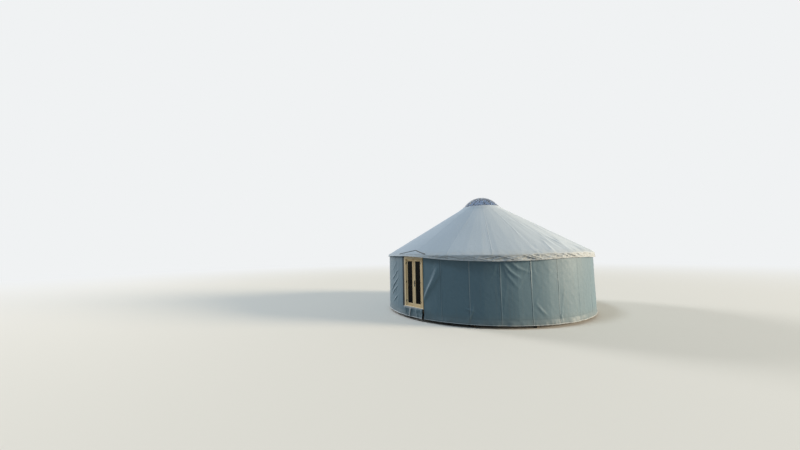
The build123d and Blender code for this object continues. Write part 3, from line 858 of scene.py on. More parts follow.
@dataclass(frozen=True)
class Metal:
    """Metal or powder-coated metal with a fine grain."""

    name: str
    colour: Colour
    metallic: float
    roughness: float
    grain: float = 900.0
    gloss: float = 0.5

    def build(self) -> Material:
        """Even colour with fine grain in its gloss and bump.

        Returns:
            The material.
        """
        n = Nodes(self.name)
        place = n.place()
        cloud = n.noise(place, 22.0, 3)
        return n.finish(
            Base_Color=n.mix(n.band(cloud, 0.35, 0.75, 0, 0.5), self.colour, dimmed(self.colour, 0.7)),
            Roughness=n.band(cloud, 0.3, 0.8, self.roughness - 0.08, self.roughness + 0.12),
            Normal=n.bump(n.noise(place, self.grain, 2), 0.2, 0.0003),
            Metallic=self.metallic,
            Specular_IOR_Level=self.gloss,
        )


@dataclass(frozen=True)
class SatinPaint:
    """Brushed satin paint on timber."""

    name: str
    colour: Colour

    def build(self) -> Material:
        """Faint brush marks over a near white colour.

        Returns:
            The material.
        """
        n = Nodes(self.name)
        marks = n.noise(n.stretch(n.place(), (14.0, 14.0, 60.0)), 3.0, 3)
        colour = n.mix(n.band(marks, 0.3, 0.8, 0, 0.2), self.colour, dimmed(self.colour, 0.75))
        return n.finish(Base_Color=colour, Roughness=0.38, Normal=n.bump(marks, 0.2, 0.0006))


@dataclass(frozen=True)
class Clear:
    """Clear sheet: glass or acrylic, with faint dust in its gloss."""

    name: str
    tint: Colour
    ior: float
    haze: float
    dust: float = 0.0
    dust_colour: Colour = (0.75, 0.76, 0.74)

    def build(self) -> Material:
        """A transmitting shader whose roughness follows a thin film of dust.

        Returns:
            The material.
        """
        n = Nodes(self.name)
        film = n.noise(n.place(), 3.5, 5, 0.6)
        return n.finish(
            Base_Color=n.mix(n.band(film, 0.4, 0.8, 0, self.dust), self.tint, self.dust_colour),
            Roughness=n.band(film, 0.3, 0.8, self.haze * 0.4, self.haze),
            IOR=self.ior,
            Transmission_Weight=1.0,
        )


class Finish:
    """The set of finished materials, built once."""

    def __init__(self, plan: TentPlan) -> None:
        """Builds every finish of the tent.

        Args:
            plan: Sizes that set the places of seams and of the leaves' rails.
        """
        arc = math.radians(1.0) * plan.wall_r
        wall = CoatedCloth(
            "wall_canvas",
            paint(92, 120, 135),
            paint(82, 109, 124),
            seam_first=plan.first_seam * arc,
            seam_step=plan.seam_pitch * arc,
            seam_far=6.2,
            hem=0.148,
            dust_amount=0.26,
            streak=0.10,
        )
        # The left copy paints fainter seam highlights and groove shade, and a brighter highlight on its hem.
        left = {"seam_highlight": 0.05, "seam_groove_shade": 0.10, "hem": 0.154, "hem_highlight": 0.80}
        self.wall = wall.build()
        self.wall_left = replace(wall, name="wall_canvas_left", **left).build()
        self.roof = CoatedCloth(
            "roof_canvas",
            paint(177, 190, 202),
            paint(163, 177, 190),
            dust=paint(154, 150, 136),
            dust_low=2.55,
            dust_high=2.95,
            dust_amount=0.5,
            seam_step=math.radians(plan.gore) * plan.eave_r,
            # Painted highlight and shade at the roof's gore seams.
            seam_highlight=0.20,
            seam_groove_shade=0.11,
            panel_tone=0.8,
            streak=0.14,
            roughness=0.60,
            gloss=0.15,
        ).build()
        plain = {"seam_highlight": 0.0, "seam_groove_shade": 0.0, "streak": 0.05}
        # Painted shade: dark cloth for the shadowed gaps beside the door frame and for the shadow line under
        # the rain flap's welt.
        self.strip = CoatedCloth("dark_strip", paint(46, 54, 58), paint(34, 41, 44), **plain).build()
        pine = paint(226, 208, 170), paint(196, 166, 118)
        # Paler copy of the pine for the head and sill: painted highlight for the light on the sill's top.
        lit_pine = paint(244, 232, 204), paint(222, 200, 160)
        ash = paint(204, 172, 124), paint(160, 122, 78)
        lath = paint(196, 164, 118), paint(150, 112, 70)
        rough = paint(146, 122, 94), paint(92, 72, 52)
        # Darker copy of the rough timber for the stumps: painted shade under the platform.
        shaded = paint(92, 78, 62), paint(56, 45, 34)
        board = paint(196, 160, 112), paint(148, 108, 68)
        timbers = {
            "door_z": Timber("door_wood", *pine),
            "leaf": Timber("door_wood_leaf", *pine, light=plan.light),
            "door_x": Timber("door_wood_level", *lit_pine, Grain.ALONG_X),
            "trellis": Timber("trellis_wood", *lath, Grain.ALONG_Z, 26.0, 0.3),
            "rafter": Timber("rafter_wood", *ash, Grain.OUTWARD, 26.0, 0.4),
            "ring": Timber("ring_wood", *ash, Grain.ROUND, 30.0, 0.2),
            "rim": Timber("rim_timber", *rough, Grain.ROUND, 30.0, 0.4),
            "beam_x": Timber("beam_timber", *rough, Grain.ALONG_X),
            "beam_y": Timber("platform_timber", *rough, Grain.ALONG_Y),
            "stump": Timber("stump_timber", *shaded, Grain.ALONG_Z, 24.0),
            "deck": Timber("deck_timber", *board, Grain.ALONG_X, boards=0.12),
        }
        self.timber = {key: timber.build() for key, timber in timbers.items()}
        self.black = Metal("black_metal", (0.010, 0.010, 0.011), 0.0, 0.46, gloss=0.18).build()
        self.steel = Metal("steel", (0.56, 0.57, 0.58), 1.0, 0.38, 300.0).build()
        self.rib = SatinPaint("rib_paint", paint(240, 240, 236)).build()
        self.dome = Clear("clear_dome", (0.40, 0.48, 0.60), 1.40, 0.0, 0.06).build()
        # Painted shade: the near-black tint stands in for the dark room seen through the panes.
        self.pane = Clear("glass_pane", (0.012, 0.010, 0.009), 1.16, 0.02).build()


# Cloth pieces

DOOR_FOLD = ((6.3, 0.79), (8.4, 1.08), (10.0, 1.32), (12.0, 1.58), (13.6, 1.83), (15.4, 2.17), (16.2, 2.46))
UPPER_PULL = ((-14.0, 2.02), (-15.6, 1.965), (-18.6, 1.77), (-21.6, 1.62), (-23.4, 1.57))
MIDDLE_PULL = ((-13.8, 1.71), (-15.4, 1.60), (-19.8, 1.34), (-23.0, 1.12), (-26.8, 0.99))
LOWER_PULL = ((-14.4, 1.33), (-16.4, 1.24), (-20.4, 1.04), (-23.6, 0.845), (-24.8, 0.80))


@dataclass(frozen=True)
class LooseFolds:
    """Soft folds that fan out from the wall's seams and hem, drawn from a fixed seed."""

    seed: int = 41
    faint: Span = (325, 100)
    counts: tuple[int, int] = (4, 7)
    from_top: float = 0.6
    tops: Span = (2.3, 2.6)
    feet: Span = (0.35, 0.7)
    drops: Span = (0.5, 1.1)
    starts: Span = (0.3, 1.5)
    runs: Span = (1.5, 6.0)
    bows: Span = (0, 0.8)
    half_way: float = 0.55
    heights: Mark = (0.002, 0.0045, 0.009)
    widths: Span = (0.03, 0.06)
    lean: float = 0.2

    def drawn(self, seams: Array) -> list[Crease]:
        """A few folds at each seam, fewer and lower ones on the side that the photograph shows.

        Args:
            seams: The seams' angles round the tent.

        Returns:
            The folds, the same ones in each run.
        """
        rng = np.random.default_rng(self.seed)
        found = []
        few, many = self.counts
        low, faint, full = self.heights
        for seam in seams:
            visible = seam < self.faint[1] or seam > self.faint[0]
            for _ in range(few if visible else many):
                top = rng.uniform() < self.from_top
                z = rng.uniform(*self.tops) if top else rng.uniform(*self.feet)
                drop = rng.uniform(*self.drops) * (-1 if top else 1)
                way = rng.choice([-1, 1])
                first = seam + way * rng.uniform(*self.starts)
                last = first + way * rng.uniform(*self.runs)
                middle = 0.5 * (first + last) - way * rng.uniform(*self.bows)
                height = rng.uniform(low, faint if visible else full)
                back = 360 if max(first, middle, last) > 180 else 0
                bow = (middle - back, z + self.half_way * drop)
                line = ((first - back, z), bow, (last - back, z + drop))
                found.append(Crease(line, height, rng.uniform(*self.widths), self.lean))
        return found


@dataclass
class WallCover:
    """The cloth round the trellis: nine lengths with seams, folds and a flared skirt."""

    plan: TentPlan = PLAN
    thickness: float = 0.0015
    step: float = 0.034
    fine: dict[str, float] = field(default_factory=lambda: {"left_1": 0.012, "right_1": 0.015})
    seam_ridge: float = 0.014
    seam_wave: Wave = Wave(0.25, 5, 0.8, 2.5, 10)
    soft: Wave = Wave(0.0028, 11, 0.5, 2.2, 14)
    small: Wave = Wave(0.0012, 12, 0.12, 0.35, 14)
    hem_wave: Wave = Wave(0.011, 21, 0.25, 1.1)
    hem_small: Wave = Wave(0.004, 22, 0.1, 0.25, 10)
    ridges: tuple[Mark, ...] = ((1.0, 0.019, 0.016), (0.45, -0.034, 0.028))
    groove: Mark = (0.006, -0.004, 0.008)
    belly: float = 0.003
    bay_flat: float = 0.0035
    weak_left: Span = (0.65, 3.0)
    weak_far: Mark = (0.5, 74.0, 80.0)
    weak_low: Mark = (0.6, 48.0, 16.0)
    weak_rise: Span = (0.7, 1.7)
    hem_roll: Mark = (0.008, 0.009, 0.010)
    hem_out: float = 0.006
    hem_calm: float = 0.4
    deepest: float = -0.0035
    uneven: tuple[float, float, float, float] = (0.7, 0.45, 2.4, 1.0)
    crease_tall: float = 0.012
    crease_in: float = 0.0015
    seam_rows: tuple[float, ...] = (0.006, 0.012, 0.02, 0.032, 0.05, 0.075)
    hem_rows: tuple[float, ...] = (0.0015, 0.004, 0.009, 0.014, 0.0175, 0.0195, 0.021)
    floor_rows: tuple[float, ...] = (0.012, 0.006, 0.003)
    loose: LooseFolds = LooseFolds()
    by_door: float = 345.0
    tuck: Mark = (1.75, 0.490, 0.4995)
    tuck_from: float = 2.2
    binding: Span = (348.5, 348.65)
    bound: Span = (0.75, 0.004)
    names: tuple[str, ...] = (
        "right_1", "right_2", "right_3", "right_4", "back", "left_4", "left_3", "left_2", "left_1",
    )
    joints: tuple[float, ...] = (
        7.106, 29.89, 69.04, 108.19, 147.34, 212.66, 251.81, 290.96, 330.11, 351.31,
    )
    seen_folds: tuple[Crease, ...] = (
        Crease(DOOR_FOLD, 0.050, 0.120, 0.25, 0.55),
        Crease(((12.1, 1.318), (17.2, 2.121)), 0.010, 0.05),
        Crease(((43.8, 2.50), (47.3, 2.095), (51.8, 1.80)), 0.024, 0.055, 0.3),
        Crease(((45.9, 2.55), (50.8, 2.20), (55.8, 2.046)), 0.022, 0.055, 0.3),
        Crease(((44.2, 2.30), (46.4, 1.90), (50.2, 1.50)), 0.012, 0.05, 0.3),
        Crease(((28.0, 0.70), (29.6, 0.665), (32.0, 0.60)), 0.016, 0.036, 0.3),
        Crease(((31.4, 0.86), (30.9, 0.55), (29.6, 0.30), (28.8, 0.15)), 0.022, 0.036, 0.3),
        Crease(((57.8, 0.926), (60.2, 0.66), (63.0, 0.443)), 0.016, 0.05, 0.3),
        Crease(((71.0, 0.62), (69.9, 0.42), (70.6, 0.17)), 0.016, 0.036, 0.3),
        Crease(UPPER_PULL, 0.022, 0.040, 0.3, 0.2),
        Crease(MIDDLE_PULL, 0.028, 0.040, 0.3, -0.2),
        Crease(LOWER_PULL, 0.025, 0.038, 0.3, 0.1),
        Crease(((-14.8, 0.89), (-16.6, 0.78), (-19.6, 0.63), (-21.4, 0.56)), 0.020, 0.038, 0.3),
        Crease(((-16.4, 2.36), (-17.9, 2.27), (-20.0, 2.10), (-22.4, 1.98)), 0.012, 0.040, 0.3),
        Crease(((-15.6, 1.21), (-16.3, 1.165), (-18.7, 1.009), (-19.4, 0.97)), 0.010, 0.030, 0.3),
    )

    def seams(self, turn: Array, along: Array, up: Array) -> Array:
        """A ridge and a groove at each seam, and a belly in the panel between two seams.

        Formula: h s (sum of the ridges' bells) - the groove's bell - b cos(2 pi d / pitch),
        where d is the distance to the seam and s its strength, which differs from seam to
        seam and is weak by the door's left edge, far to the sides, and low near 48 degrees.

        Args:
            turn: Angles round the tent, from -180 to 180.
            along: The same in metres.
            up: Heights above the ground.

        Returns:
            Lifts in metres.
        """
        plan = self.plan
        pitch, first = (np.radians(a) * plan.wall_r for a in (plan.seam_pitch, plan.first_seam))
        aside = (np.abs(along) - first + pitch / 2) % pitch - pitch / 2
        number = np.round((turn - np.sign(turn) * plan.first_seam) / plan.seam_pitch)
        usual, swing, pace, phase = self.uneven
        strength = usual + swing * np.sin(number * pace + phase) + self.seam_wave.swell(along, up)
        share, wide = self.weak_left
        strength = strength * (1 - share * bell(turn + plan.first_seam, wide))
        share, near, far = self.weak_far
        strength = strength * (1 - share * smooth(np.abs(turn), near, far))
        share, middle, wide = self.weak_low
        low = 1 - smooth(up, *self.weak_rise)
        strength = strength * (1 - share * bell(turn - middle, wide) * low)
        ridge = sum(share * bell(aside - at, wide) for share, at, wide in self.ridges)
        deep, at, wide = self.groove
        lift = self.seam_ridge * strength * ridge - deep * bell(aside - at, wide)
        return lift - self.belly * np.cos(2 * math.pi * aside / pitch)

    def bulge(self, angle: Array, up: Array) -> Array:
        """How far the cloth stands out of its smooth form.

        Formula: the seams, a faint flat at each trellis bay, the folds, a soft swell, ripples
        that grow towards the hem, and the hem's round roll.

        Args:
            angle: Angles round the tent, from -180 to 360.
            up: Heights above the ground.

        Returns:
            Lifts in metres.
        """
        plan = self.plan
        turn = np.where(angle > 180, angle - 360, angle)
        along = np.radians(turn) * plan.wall_r
        bay = (turn / plan.rafter_pitch) % 1
        lift = self.seams(turn, along, up) + self.bay_flat * ((2 * bay - 1) ** 2 - 0.5)
        for fold in (*self.seen_folds, *self.loose.drawn(plan.seam_angles())):
            lift = lift + fold.lift(along, up, plan.wall_r)
        lift += self.soft.swell(along, up) + self.small.swell(along, up)
        hem = smooth(-up, -plan.skirt_crease, -plan.skirt_bottom)
        ripple = self.hem_wave.swell(along, 0.2 * up) + self.hem_small.swell(along, up)
        lift = lift * (1 - self.hem_calm * hem) + hem * (ripple + self.hem_out)
        out, middle, half = self.hem_roll
        roll = np.sqrt(np.clip(1 - ((up - plan.skirt_bottom - middle) / half) ** 2, 0, 1))
        return np.maximum(lift, self.deepest) + out * roll

    def radius_at(self, up: Array) -> Array:
        """Smooth form of the wall: a lean from top to floor, a tuck at the crease, then the skirt.

        Args:
            up: Heights above the ground.

        Returns:
            The wall's radius at each height.
        """
        plan, base = self.plan, self.plan.wall_base_r
        crease = plan.skirt_crease
        heights = [plan.skirt_bottom, crease, crease + self.crease_tall, plan.floor_z, plan.wall_top]
        radii = [base + plan.skirt_flare, base - self.crease_in, base, base, plan.wall_r]
        return np.interp(up, heights, radii)

    def face(self, start: float, end: float, step: float) -> Part:
        """Outer surface P(a, z) = around(a, R(z) + bulge(a, z), z) between two angles.

        Left of the door the edge is bound flat, and the skirt is drawn out below the floor,
        to slip behind the apron.

        Args:
            start: First angle.
            end: Last angle.
            step: Size of the grid's meshes.

        Returns:
            The grid of points and their places on the cloth.
        """
        plan = self.plan
        degree = math.radians(1) * plan.wall_r
        offsets = both_sides(*self.seam_rows) / degree
        angles = spaced(start, end, step / degree, plan.seam_angles(), offsets)
        rows = [
            np.linspace(plan.skirt_bottom, plan.skirt_crease, 8),
            np.linspace(plan.skirt_crease + self.crease_tall, plan.floor_z, 6),
            np.linspace(plan.floor_z, plan.wall_top, round((plan.wall_top - plan.floor_z) / step)),
            plan.skirt_bottom + np.array(self.hem_rows),
            plan.floor_z - np.array(self.floor_rows),
        ]
        angle, up = np.meshgrid(angles, np.unique(np.concatenate(rows)), indexing="ij")
        if end > self.by_door:
            out, low, high = self.tuck
            angle = angle + out * smooth(angle, end - self.tuck_from, end) * (1 - smooth(up, low, high))
        lift = self.bulge(angle, up)
        if end > self.by_door:
            flat, out = self.bound
            edge = smooth(angle, *self.binding)
            lift = lift * (1 - flat * edge) + out * edge
        uv = np.stack([np.minimum(angle, 360 - angle) * degree, up], -1)
        return around(angle, self.radius_at(up) + lift, up), uv

    def build(self, finish: Finish) -> None:
        """Makes the nine lengths, hides the imported wall pieces and attaches each to the tent.

        Args:
            finish: The finished materials.
        """
        plan = self.plan
        gap = math.degrees(plan.joint / plan.wall_r)
        for name, start, end in zip(self.names, self.joints[:-1], self.joints[1:]):
            face, uv = self.face(start + gap, end - gap, self.fine.get(name, self.step))
            piece = sheet_shell(f"wall_cloth_{name}", face, uv, self.thickness)
            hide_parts(f"wall_{name}")
            hand_in(piece, "tent", finish.wall_left if name == "left_1" else finish.wall)


@dataclass
class RoofCover:
    """The roof cloth: six lengths, each from the ring's top down to the valance's hem."""

    plan: TentPlan = PLAN
    thickness: float = 0.0012
    step: float = 0.42
    rows: int = 84
    valance_rows: int = 15
    sag: float = 0.006
    hem: float = 0.030
    eave_turn: float = 0.030
    lean: float = math.radians(5)
    lean_door: float = math.radians(38)
    lean_tucked: float = math.radians(7)
    slope_swell: Wave = Wave(0.004, 31, 0.25, 0.9, 16)
    slope_crests: Wave = Wave(0.022, 33, 0.5, 1.6)
    pull_right: Wave = Wave(0.010, 34, 0.35, 0.9)
    pull_left: Wave = Wave(0.010, 35, 0.5, 1.1)
    eave_swell: Wave = Wave(0.003, 32, 0.08, 0.30, 16)
    leaf_right: Wave = Wave(0.036, 43, 0.5, 1.5)
    leaf_left: Wave = Wave(0.036, 44, 0.6, 1.7)
    leaf_fine: Wave = Wave(0.009, 45, 0.18, 0.55)
    leaf_level: float = 0.35
    leaf_leans: Mark = (3.6, -2.9, 1.5)
    hem_swell: Wave = Wave(0.008, 41, 0.25, 0.8, 14)
    hem_fine: Wave = Wave(0.004, 42, 0.07, 0.18, 14)
    hollow: float = 0.012
    laps: tuple[Mark, ...] = ((0.004, 0.018, 0.018), (0.0025, -0.024, 0.020), (-0.002, 0.0, 0.006))
    lap_rows: tuple[float, ...] = (0.005, 0.012, 0.024, 0.04, 0.06)
    lip_rows: tuple[float, int] = (0.004, 3)
    hem_thick: Span = (0.002, 0.004)
    corner_out: float = 0.75
    awning_turn: float = 0.02
    awning_lean: float = math.radians(20)
    awning_calm: float = 0.6
    pull_length: float = 0.38
    pull_leans: Span = (-0.55, 0.75)
    slack_most: float = 1.75
    slack_eased: float = 0.4
    pull_starts: Span = (0, 22)
    slack_least: float = 0.10
    slack_grows: Span = (46, 80)
    slack_eases: Span = (90, 110)
    slack_ends: Span = (120, 165)
    awning_starts: Span = (-34, -20)
    awning_ends: Span = (2, 13)
    tucked_from: Span = (45, 70)
    calm_starts: Span = (-60, -40)
    calm_ends: Span = (0, 34)
    leaves_grow: Span = (30, 60)
    leaves_ease: Span = (90, 105)
    sectors: tuple[tuple[str, float], ...] = (
        ("front", -20.0),
        ("right_front", 40.0),
        ("right_back", 100.0),
        ("back", 160.0),
        ("left_back", 220.0),
        ("left_front", 280.0),
    )
    crease_line: Line = (
        (-60, 2.700), (-30, 2.712), (-13, 2.728), (0, 2.726), (6, 2.718), (10.6, 2.701), (17, 2.686),
        (25, 2.681), (35, 2.675), (43, 2.684), (52, 2.691), (61, 2.708), (71, 2.726), (85, 2.722),
        (100, 2.705), (120, 2.690), (140, 2.700), (165, 2.685), (190, 2.702), (215, 2.688), (240, 2.700),
        (270, 2.692), (300, 2.700),
    )
    hem_line: Line = (
        (-60, 2.560), (-40, 2.620), (-23, 2.652), (-13, 2.664), (-6.6, 2.662), (0, 2.652), (5.7, 2.622),
        (10.5, 2.585), (15, 2.552), (22, 2.507), (31, 2.473), (39, 2.450), (47, 2.450), (56, 2.466),
        (65, 2.493), (77, 2.534), (90, 2.530), (105, 2.505), (125, 2.480), (150, 2.470), (180, 2.478),
        (210, 2.470), (240, 2.482), (270, 2.490), (300, 2.560),
    )

    def wrapped(self, line: Line, angle: Array) -> Array:
        """Value of a line of (angle, value) points, smoothed over a few degrees, as a column.

        Args:
            line: The points, from -60 to 300 degrees.
            angle: Angles round the tent.

        Returns:
            The value at each angle.
        """
        fine = np.arange(-60, 300.5, 0.5)
        values = np.interp(fine, *np.array(line).T)
        kernel = np.hanning(15)
        padded = np.concatenate([values[-8:-1], values, values[1:8]])
        values = np.convolve(padded, kernel / kernel.sum(), "valid")
        return np.interp((angle + 60) % 360 - 60, fine, values)[:, None]

    def tilt(self, angle: Array) -> Array:
        """How far the valance leans out from upright, in radians: most over the door.

        Args:
            angle: Angles round the tent.

        Returns:
            The lean at each angle.
        """
        turn = signed(angle)
        over_door = smooth(turn, *self.awning_starts) * (1 - smooth(turn, *self.awning_ends))
        tucked = smooth(turn, *self.tucked_from) + smooth(-turn, *self.tucked_from)
        return self.lean + self.lean_door * over_door - self.lean_tucked * tucked

    def wrinkle(self, angle: Array, down: Array, reach: Array) -> Array:
        """Lift of the cloth square to its face.

        Formula: a parabola 4p(1 - p) of sag between rafters, welded laps at the gores, long
        soft streaks down the slope, and gathers that fade up from the eave.

        Args:
            angle: Angles round the tent.
            down: Distances up the slope from the eave.
            reach: Radius over the eave's radius, from 0 to 1.

        Returns:
            Lifts in metres.
        """
        plan = self.plan
        turn, along = signed(angle), np.radians(angle) * plan.eave_r
        bay = (angle / plan.rafter_pitch) % 1
        free = 4 * bay * (1 - bay)
        aside = np.radians((angle + plan.gore / 2) % plan.gore - plan.gore / 2) * plan.eave_r * reach
        lift = sum(high * bell(aside - at, wide) for high, at, wide in self.laps)
        lift = lift - self.sag * reach**1.6 * free
        slack = self.slack_most * smooth(turn, *self.slack_grows)
        slack = slack * (1 - self.slack_eased * smooth(turn, *self.slack_eases))
        slack = self.slack_least + slack * (1 - smooth(turn, *self.slack_ends))
        lift += self.slope_swell.swell(along, down * 0.10) * free * reach * slack
        lift += self.slope_crests.crests(along, down * 0.16) * (0.15 + free) * reach**1.4 * slack
        right, left = self.pull_leans
        feather = self.pull_right.crests(along + right * down, 0.2 * down)
        feather = feather + self.pull_left.crests(along + left * down, 0.2 * down)
        pulled = self.eave_swell.swell(along, 0.3 * down) + feather * (0.2 + slack)
        pulled = pulled * np.exp(-down / self.pull_length) * (0.2 + free)
        return lift + pulled * smooth(turn, *self.pull_starts)

    def gathers(self, angle: Array, drop: Array, height: Array) -> Array:
        """Ripples of the valance: leaf-shaped swells between gather points, widest at mid height.

        Formula: two sets of slanted crests, a swell that grows towards the hem, a hollow
        under the crease and a hem that stands out again, all of it faint near the door.

        Args:
            angle: Angles round the tent.
            drop: Distance below the crease.
            height: The valance's height there.

        Returns:
            Lifts in metres.
        """
        share = np.clip(drop / height, 0, 1)
        turn, along = signed(angle), np.radians(angle) * self.plan.eave_r
        full = 1 - 0.75 * smooth(turn, *self.calm_starts) * (1 - smooth(turn, *self.calm_ends))
        full = full * (1 + 0.5 * smooth(turn, *self.leaves_grow) - 0.8 * smooth(turn, *self.leaves_ease))
        belly = arch(np.clip(share * 1.05, 0, 1))
        right, left, slight = self.leaf_leans
        leaves = self.leaf_right.crests(along + right * drop, 0.9 * drop)
        leaves = np.maximum(leaves, self.leaf_left.crests(along + left * drop, 0.9 * drop))
        fine = self.leaf_fine.crests(along + slight * drop, 0.6 * drop)
        level = self.leaf_level * (self.leaf_right.height + self.leaf_fine.height)
        lift = (leaves + fine - level) * belly * full
        lift += self.hem_swell.swell(along, drop * 0.6) * share + self.hem_fine.swell(along, drop) * belly
        hollow = np.sin(math.pi * np.clip(share / 0.85, 0, 1)) - smooth(share, 0.78, 1.0)
        return lift - self.hollow * hollow

    def section(self, angles: Array) -> tuple[Array, Array, Array, Array]:
        """The smooth cover's section at each angle, from the hem up over the eave to the ring.

        The valance hangs from the crease at a lean, the eave is a quarter turn drawn as a
        quadratic curve, and the slope runs straight up to the flare and over the ring's lip.

        Args:
            angles: Angles round the tent.

        Returns:
            Radii and heights as grids, and the valance's height and lean as columns.
        """
        plan = self.plan
        hem_z, corner_z = self.wrapped(self.hem_line, angles), self.wrapped(self.crease_line, angles)
        corner_r = plan.eave_r + self.corner_out * (plan.eave_z - corner_z) / math.tan(plan.slope)
        lean = self.tilt(angles)[:, None]
        turn = self.eave_turn + self.awning_turn * (lean > self.awning_lean)
        foot_r, foot_z = corner_r + turn * np.sin(lean), corner_z - turn * np.cos(lean)
        top_r = corner_r - turn * math.cos(plan.slope)
        top_z = np.maximum(plan.cone_z(top_r), corner_z + turn * math.sin(plan.slope))
        hang = (foot_z - hem_z) / np.cos(lean)
        drop = hang * (1 - np.concatenate([[0, 0.06, 0.12], np.linspace(0.2, 1, self.valance_rows)]))
        t, w = np.linspace(0, 1, 7)[1:], np.linspace(0, 1, 9)[1:]
        bend_r = (1 - t) ** 2 * foot_r + 2 * t * (1 - t) * corner_r + t**2 * top_r
        bend_z = (1 - t) ** 2 * foot_z + 2 * t * (1 - t) * corner_z + t**2 * top_z
        s = (np.linspace(0, 1, self.rows) ** 1.05)[1:]
        high_r = top_r + (plan.flare_r - top_r) * s
        flare_z, ease = plan.cone_z(plan.flare_r), smooth(s, 0.0, 0.06)
        high_z = (top_z + (flare_z - top_z) * s) * (1 - ease) + plan.cone_z(high_r) * ease
        ring_r = plan.flare_r + (plan.ring_lip_r - plan.flare_r) * w
        ring_z = flare_z + (plan.ring_top - flare_z) * w
        step, count = self.lip_rows
        lip = np.linspace(plan.ring_lip_r - step, plan.cover_inner_r, count)
        even = 0 * corner_z
        low_r, low_z = foot_r + drop * np.sin(lean), foot_z - drop * np.cos(lean)
        radius = np.concatenate([low_r, bend_r, high_r, ring_r + even, lip + even], 1)
        height = np.concatenate([low_z, bend_z, high_z, ring_z + even, plan.ring_top + 0 * lip + even], 1)
        return radius, height, hang + turn, lean

    def face(self, start: float, end: float) -> Part:
        """Outer surface P(a, s) = section + N (wrinkle above the crease, gathers below it).

        Args:
            start: First angle.
            end: Last angle.

        Returns:
            The grid of points and their places on the cloth.
        """
        plan = self.plan
        offsets = both_sides(*self.lap_rows) / (math.radians(1) * plan.eave_r)
        angles = spaced(start, end, self.step, np.arange(-40, 361, plan.gore), offsets)
        radius, height, tall, lean = self.section(angles)
        angle = angles[:, None] + 0 * radius
        face = around(angle, radius, height)
        steps = np.linalg.norm(np.diff(face, axis=1), axis=-1)
        way = np.concatenate([np.zeros((len(angles), 1)), np.cumsum(steps, 1)], 1)
        crease = 3 + self.valance_rows + 2
        down = way - way[:, crease][:, None]
        lift = self.wrinkle(angle, np.maximum(down, 0), np.clip(radius / plan.eave_r, 0, 1))
        lift = lift * smooth(down, -0.01, 0.12) * smooth(radius, plan.ring_lip_r + 0.02, plan.flare_r + 0.2)
        awning = 1 - self.awning_calm * (lean - self.lean) / self.lean_door
        below = (1 - smooth(down, -0.03, 0.02)) * awning
        lift += self.gathers(angle, np.maximum(-down, 0), tall) * below
        thick, ease = self.hem_thick
        lift += thick * smooth(-way, -self.hem - ease, -self.hem)
        uv = np.stack([np.radians(angle) * plan.eave_r, down + 10.0], -1)
        return face + normals_of(face) * lift[..., None], uv

    def build(self, finish: Finish) -> None:
        """Makes the six lengths, hides the imported roof pieces and attaches each to the tent.

        Args:
            finish: The finished materials.
        """
        gap = math.degrees(self.plan.joint / self.plan.eave_r)
        for name, start in self.sectors:
            face, uv = self.face(start + gap, start + 60 - gap)
            piece = sheet_shell(f"roof_cloth_{name}", face, uv, self.thickness)
            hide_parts(f"roof_{name}")
            hand_in(piece, "tent", finish.roof)


@dataclass
class RainFlap:
    """The pointed flap on the roof over the door, lying on the roof cover."""

    plan: TentPlan = PLAN
    line: Line = ((-12.0, 4.925), (-6.4, 4.795), (-0.9, 4.660), (4.2, 4.815), (8.9, 4.943))
    low: float = 4.948
    arc_r: float = 4.9
    thickness: float = 0.0015
    welt: float = 0.010
    welt_place: Span = (0.012, 0.010)
    over: float = 0.004
    wave: Wave = Wave(0.003, 51, 0.1, 0.4, 10)
    edge_over: float = 0.014
    edge_half: Span = (0.026, 0.012)
    edge_steps: int = 121

    def build(self, finish: Finish) -> None:
        """A grid between the eave and the pointed line, P = roof cone + lift, welted along the line.

        Args:
            finish: The finished materials.
        """
        plan = self.plan
        points = np.array(self.line)
        angles = np.unique(np.concatenate([np.linspace(points[0, 0], points[-1, 0], 71), points[:, 0]]))
        top = np.interp(angles, *points.T)[:, None]
        share = np.concatenate([np.linspace(0, 0.9, 12), [0.94, 0.97, 0.99, 1.0]])
        radius = self.low + (top - self.low) * share
        edge = (radius - top) / math.cos(plan.slope)
        arc = np.radians(angles)[:, None] * self.arc_r
        at, wide = self.welt_place
        lift = self.over + self.welt * bell(edge - at, wide) + np.abs(self.wave.swell(arc, radius))
        face = around(angles[:, None] + 0 * radius, radius, plan.cone_z(radius) + lift / math.cos(plan.slope))
        uv = np.stack([arc + 0 * edge + 0.4, 10 + edge], -1)
        piece = sheet_shell("rain_flap", face, uv, self.thickness)
        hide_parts("gable_flap")
        hand_in(piece, "tent", finish.roof)
        # Painted shadow: the dark binding stands for the shade under the flap's welt.
        edging = gathered("rain_flap_edging", [self.edging()])
        hand_in(edging, "tent", finish.strip)

    def edging(self) -> Part:
        """Rounded binding along the pointed line, dark as a painted shadow of the welt: a flat oval carried
        along it, closed at both ends.

        Returns:
            The points and the faces.
        """
        plan = self.plan
        points = np.array(self.line)
        angles = np.linspace(points[0, 0], points[-1, 0], self.edge_steps)
        radius = np.pad(np.interp(angles, *points.T), 2, "edge")
        radius = np.convolve(radius, np.array([1, 2, 3, 2, 1]) / 9, "valid")
        centre = around(angles, radius, plan.cone_z(radius) + self.edge_over)
        above = around(angles, math.sin(plan.slope), 0 * angles + math.cos(plan.slope))
        return carried(centre, above, tapered(self.edge_steps, 2.0, 0.02) * [self.edge_half])


